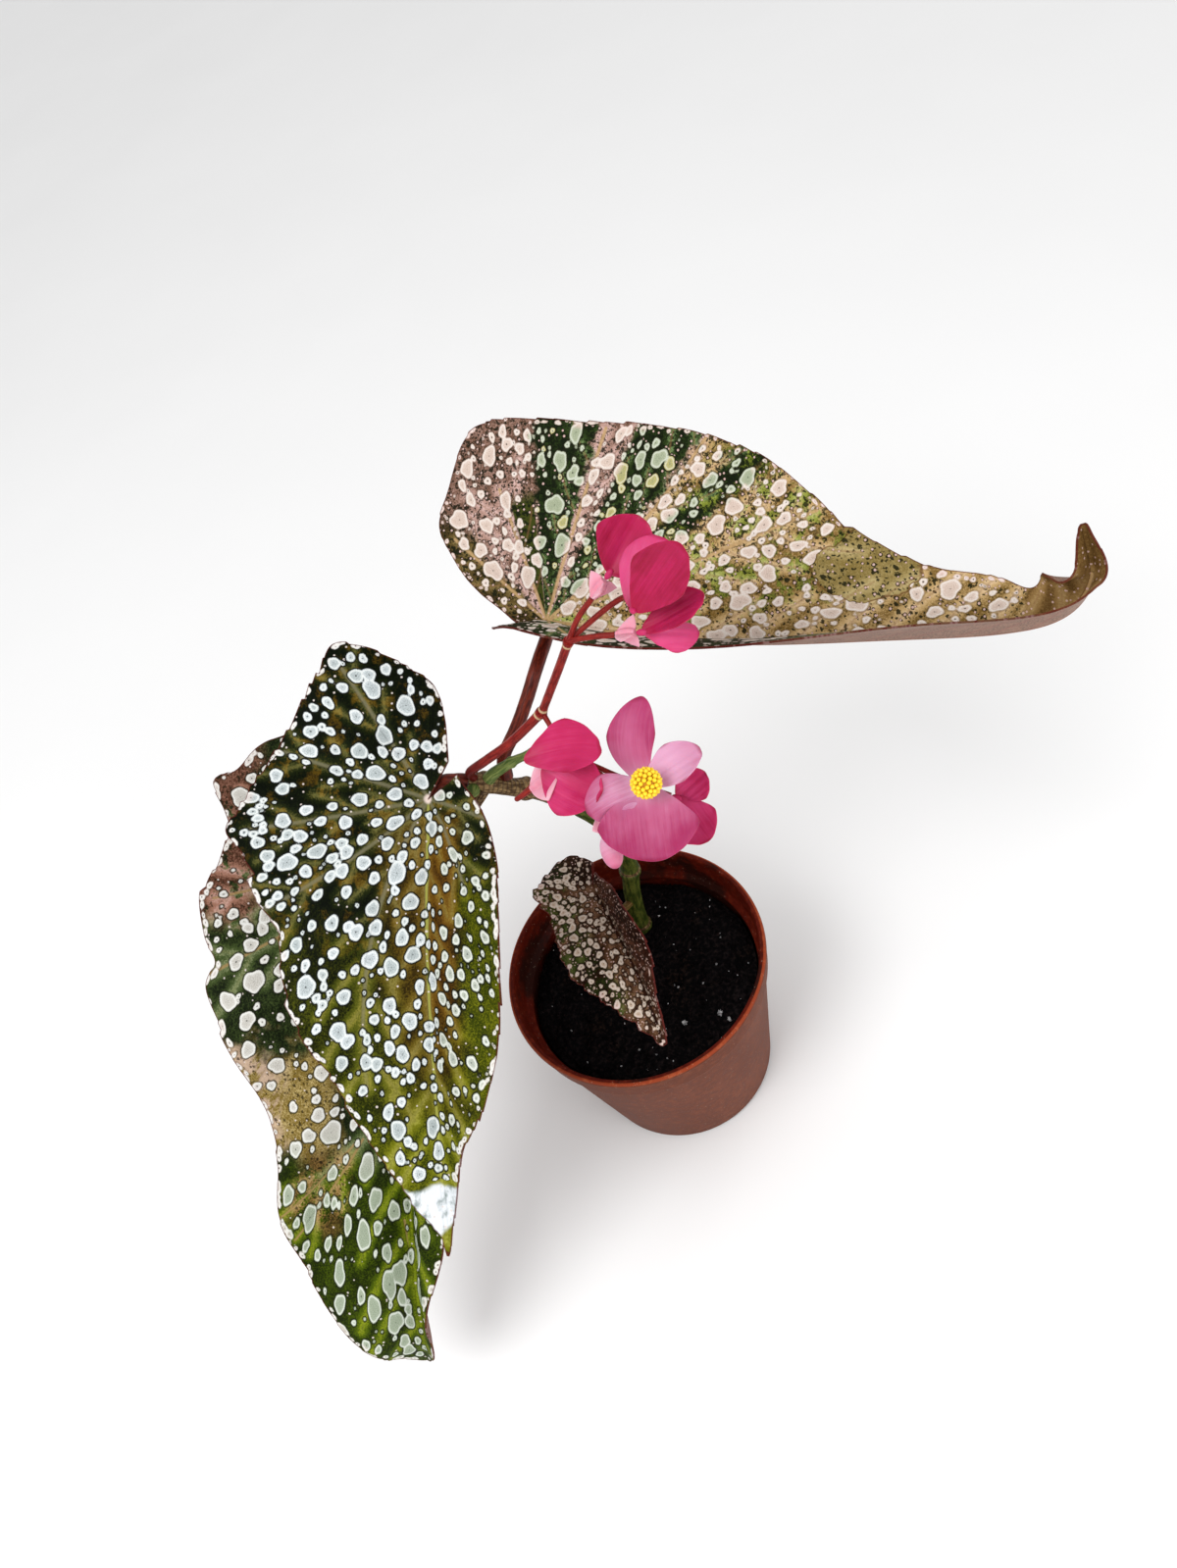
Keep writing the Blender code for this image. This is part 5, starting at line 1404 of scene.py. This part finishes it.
def make_pot():
    band_low = POT_HEIGHT - RIM_BAND
    band_radius = RIM_RADIUS - RIM_STEP
    lip_low = POT_HEIGHT - LIP_HEIGHT
    ledge_low = band_low - LEDGE_DROP - LEDGE_SLOPE
    floor_edge = BASE_THICKNESS + BASE_FILLET
    profile = [
        (0, 0), (BASE_RADIUS - BASE_CHAMFER, 0), (wall_radius(BASE_CHAMFER), BASE_CHAMFER),
        (wall_radius(band_low), band_low), (band_radius, band_low + BAND_SLOPE),
        (RIM_RADIUS - LIP_FLARE, lip_low), (RIM_RADIUS, lip_low + LIP_ROUND),
        (RIM_RADIUS, POT_HEIGHT - LIP_ROUND), (RIM_RADIUS - LIP_ROUND / 2, POT_HEIGHT),
        (RIM_RADIUS - LIP_WIDTH + LIP_ROUND / 2, POT_HEIGHT), (RIM_RADIUS - LIP_WIDTH, POT_HEIGHT - LIP_ROUND),
        (band_radius - WALL, band_low + BAND_SLOPE), (inner_radius(band_low) - LEDGE_WIDTH, band_low - LEDGE_DROP),
        (inner_radius(ledge_low), ledge_low), (inner_radius(floor_edge), floor_edge),
        (inner_radius(BASE_THICKNESS) - BASE_FILLET, BASE_THICKNESS), (0, BASE_THICKNESS),
    ]
    points, faces = turned(eased(profile, 0.5), 160)
    paint = Paint("pot_plastic_painted", 0.55, 0.07)
    split = paint.node("ShaderNodeSeparateXYZ")
    paint.tree.links.new(paint.place(), split.inputs[0])
    x, y, z = (Value(paint, socket) for socket in split.outputs)
    radius = (x * x + y * y) ** 0.5
    broad = paint.noise(paint.place(), 38, 4.0, 0.6)
    dust = paint.noise(paint.place(), 420, 5.0, 0.7)
    around = paint.vector(paint.math("ARCTAN2", y, x) * 3.0, z * 220, 0.0)
    runs = paint.noise(around, 2.0, 4.0, 0.6)
    outside = paint.mix(srgb(92, 45, 27), srgb(114, 62, 42), (dust + broad * 0.4).above(0.62, 0.86))
    outside = paint.mix(outside, srgb(78, 38, 24), runs.above(0.56, 0.7) * 0.35)
    # Painted highlight: the top of the lip is painted a lighter orange-brown than the wall.
    lit_rim_top = paint.mix(srgb(136, 56, 30), srgb(158, 80, 48), dust.above(0.5, 0.7))
    # Painted shade: the inner wall is painted as a darker, redder copy of the plastic.
    inside = paint.mix(srgb(76, 16, 6), srgb(104, 32, 14), dust.above(0.45, 0.7))
    # Painted shade, darkest low down towards the soil, in broad near black patches where soil is also smeared on the
    # wall.
    inside = paint.mix(inside, srgb(22, 12, 8), (broad + z * 6).below(0.80, 0.90) * 0.8)
    colour = paint.mix(outside, lit_rim_top, z.above(0.0748, 0.0754))
    shaded_inner_wall = (radius - z * 0.1453 - 0.0334).below(-0.0004, -0.0002) * z.above(0.0005, 0.001)
    colour = paint.mix(colour, inside, shaded_inner_wall)
    specks = paint.noise(paint.place(), 1500, 2.0, 0.5).above(0.68, 0.74)
    colour = paint.mix(colour, srgb(190, 170, 150), specks * 0.35)
    height = dust * 0.6 + runs * 0.4
    rough = 0.42 + dust * 0.25
    material = paint.finish(colour, height, 0.25, 0.0004, rough)
    pot = add_object("pot_shell", points, faces, [material])
    group = bpy.data.collections.new("drains")
    for k in range(DRAIN_COUNT):
        angle = 2 * math.pi * (k + 0.5) / DRAIN_COUNT
        foot = (DRAIN_CIRCLE * math.cos(angle), DRAIN_CIRCLE * math.sin(angle))
        line = np.array([(*foot, -1), (*foot, BASE_THICKNESS + 1)], float)
        drain_points, drain_faces, _ = tube(line, (DRAIN_RADIUS, DRAIN_RADIUS), 40)
        drain = add_object("drain", drain_points, drain_faces, [material])
        bpy.context.scene.collection.objects.unlink(drain)
        group.objects.link(drain)
    hole = pot.modifiers.new("holes", "BOOLEAN")
    hole.operand_type = "COLLECTION"
    hole.collection = group
    graph = bpy.context.evaluated_depsgraph_get()
    cut = bpy.data.meshes.new_from_object(pot.evaluated_get(graph))
    pot.modifiers.clear()
    pot.data = cut
    for drain in list(group.objects):
        bpy.data.objects.remove(drain)
    bpy.data.collections.remove(group)
    finish(pot, ["pot"], 28, turn_outwards=False)


def soil_height(x, y):
    ripple = np.sin(0.19 * x + 1.3) * np.cos(0.23 * y - 0.4) + 0.6 * np.sin(0.41 * x - 0.33 * y)
    return SOIL_TOP + SOIL_BUMP * ripple - SOIL_SLOPE * y


def lump(centre, size, rng, sides=7, rings=5):
    """A small irregular crumb as (points, faces, values)."""
    share = np.linspace(-0.92, 0.92, rings)
    axis = unit(rng.normal(size=3))
    line = np.array(centre) + share[:, None] * axis * size * rng.uniform(0.6, 1.3)
    radii = size * np.sqrt(1 - share**2) * rng.uniform(0.6, 1.0)
    points, faces, values = tube(line, radii, sides)
    middle = np.array(centre)
    jolt = 1 + 0.28 * rng.normal(size=(len(points), 1))
    return middle + (points - middle) * np.clip(jolt, 0.5, 1.5), faces, values


def soil_bits(reach, rng):
    """Pale grit on the soil as (x, y, size): the larger bits where they show, and fine ones at random."""
    bits = [(40, -13, 1.1), (18, -25, 0.9), (20, -28.5, 0.8), (6, -23, 0.75), (14, -37, 0.8), (37, -29, 0.7)]
    for _ in range(70):
        radius, angle = reach * math.sqrt(rng.uniform()) * 0.95, rng.uniform(0, 2 * math.pi)
        bits.append((radius * math.cos(angle), radius * math.sin(angle), rng.uniform(0.15, 0.42)))
    return [(x, y, size) for x, y, size in bits if math.hypot(x, y) < reach - 1.5]


def make_soil():
    rng = np.random.default_rng(5)
    low = BASE_THICKNESS + GAP
    top_radius = inner_radius(SOIL_TOP - SOIL_EDGE_DROP) - LEDGE_WIDTH - GAP
    rings, segments = 64, 160
    turn = np.linspace(0, 2 * math.pi, segments, endpoint=False)
    points = [np.array([[0, 0, soil_height(0, 0)]])]
    for ring in range(1, rings + 1):
        radius = top_radius * ring / rings
        x, y = radius * np.cos(turn), radius * np.sin(turn)
        rough = waves(np.stack([x, y], axis=-1), 7.0, 9, 4) * 0.5
        drop = SOIL_EDGE_DROP * max(0, (ring / rings - 0.93) / 0.07)
        points.append(np.stack([x, y, soil_height(x, y) + rough - drop], axis=-1))
    shoulder = low + BASE_FILLET
    for radius, height in (
        (inner_radius(shoulder) - SOIL_EDGE_GAP, shoulder),
        (inner_radius(low) - BASE_FILLET - SOIL_EDGE_GAP, low),
    ):
        points.append(np.stack([radius * np.cos(turn), radius * np.sin(turn), np.full(segments, height)], axis=-1))
    points.append(np.array([[0, 0, low]]))
    points = np.vstack(points)
    faces = []
    rows = rings + 2
    for j in range(segments):
        k = (j + 1) % segments
        faces.append((0, 1 + j, 1 + k))
        for row in range(rows - 1):
            a, b = 1 + row * segments, 1 + (row + 1) * segments
            faces.append((a + j, b + j, b + k, a + k))
        last = 1 + (rows - 1) * segments
        faces.append((last + k, last + j, len(points) - 1))
    pieces = [(points, faces, np.zeros((len(points), 3)))]
    for _ in range(1500):
        radius, angle = top_radius * 0.97 * math.sqrt(rng.uniform()), rng.uniform(0, 2 * math.pi)
        x, y = radius * math.cos(angle), radius * math.sin(angle)
        size = 0.28 + 0.75 * rng.uniform() ** 3
        pieces.append(lump((x, y, soil_height(x, y) - 0.1 + 0.2 * size), size, rng))
    for x, y, size in soil_bits(top_radius, rng):
        points, faces, values = lump((x, y, soil_height(x, y) + 0.35 * size), size, rng, 10, 7)
        values[:, 0] = 1.0
        pieces.append((points, faces, values))
    points, faces, values = join("soil", pieces)
    paint = Paint("potting_soil_painted", 0.95, 0.05)
    white, _, _ = paint.attribute("bit")
    grain = paint.noise(paint.place(), 700, 5.0, 0.7)
    broad = paint.noise(paint.place(), 90, 3.0, 0.6)
    colour = paint.mix(srgb(6, 5, 6), srgb(34, 27, 27), grain.above(0.45, 0.7))
    colour = paint.mix(colour, srgb(52, 38, 30), (grain * broad).above(0.3, 0.42) * 0.5)
    pale = paint.mix(srgb(150, 150, 152), srgb(214, 214, 214), grain.above(0.4, 0.62))
    colour = paint.mix(colour, pale, white.above(0.6, 0.9))
    material = paint.finish(colour, grain, 0.9, 0.0012)
    soil = add_object("soil_mix", points, faces, [material], {"bit": (values[:, :1] == 1.0) * np.ones(3)})
    finish(soil, ["soil"], 40, turn_outwards=False)


# Room


def make_floor():
    rings, segments, reach = 16, 64, 5000.0
    points = [np.zeros((1, 3))]
    turn = np.linspace(0, 2 * math.pi, segments, endpoint=False)
    for ring in range(1, rings + 1):
        radius = reach * ring / rings
        points.append(np.stack([radius * np.cos(turn), radius * np.sin(turn), np.zeros(segments)], axis=-1))
    faces = [(0, 1 + j, 1 + (j + 1) % segments) for j in range(segments)]
    for ring in range(rings - 1):
        a, b = 1 + ring * segments, 1 + (ring + 1) * segments
        faces += [(a + j, b + j, b + (j + 1) % segments, a + (j + 1) % segments) for j in range(segments)]
    paint = Paint("pale_floor", 0.7, 0.2)
    soft = paint.noise(paint.place(), 6, 2.0)
    material = paint.finish(paint.mix((0.86, 0.86, 0.86), (0.9, 0.9, 0.9), soft))
    floor = add_object("floor", np.vstack(points), faces, [material])


def area_light(name, place, aim, size, power, colour=(1, 1, 1)):
    data = bpy.data.lights.new(name, "AREA")
    data.shape = "DISK"
    data.size = size
    data.energy = power
    data.color = colour
    lamp = bpy.data.objects.new(name, data)
    lamp.location = Vector(place)
    lamp.rotation_mode = "QUATERNION"
    lamp.rotation_quaternion = (Vector(aim) - Vector(place)).to_track_quat("-Z", "Y")
    bpy.context.scene.collection.objects.link(lamp)


def make_room():
    make_floor()
    world = bpy.data.worlds.new("studio")
    world.use_nodes = True
    backdrop = world.node_tree.nodes["Background"]
    backdrop.inputs["Color"].default_value = (1.0, 1.0, 1.0, 1)
    backdrop.inputs["Strength"].default_value = 0.8
    bpy.context.scene.world = world
    aim = (0.0, -0.01, 0.15)
    area_light("key", (-0.45, -0.35, 1.1), aim, 0.6, 7.0)
    area_light("fill", (0.5, -0.9, 0.45), aim, 0.8, 4.0)
    bpy.context.scene.view_settings.view_transform = "Standard"


def make_camera():
    data = bpy.data.cameras.new("camera")
    data.sensor_fit = "AUTO"
    data.sensor_width = 36.0
    data.lens = CAMERA_LENS
    data.clip_start, data.clip_end = 0.01, 20
    camera = bpy.data.objects.new("camera", data)
    pitch, roll = math.radians(CAMERA_PITCH), math.radians(CAMERA_ROLL)
    forward = Vector((0, math.cos(pitch), -math.sin(pitch)))
    level, rise = Vector((1, 0, 0)), Vector((0, math.sin(pitch), math.cos(pitch)))
    right = math.cos(roll) * level + math.sin(roll) * rise
    up = math.cos(roll) * rise - math.sin(roll) * level
    turn = Matrix((right, up, -forward)).transposed()
    camera.matrix_world = Matrix.Translation(Vector(CAMERA_PLACE) * METRES) @ turn.to_4x4()
    bpy.context.scene.collection.objects.link(camera)
    bpy.context.scene.camera = camera


make_pot()
make_soil()
make_cane()
make_leaves()
make_leaf_stalks()
make_flower_stalks()
make_blooms()
make_room()
make_camera()
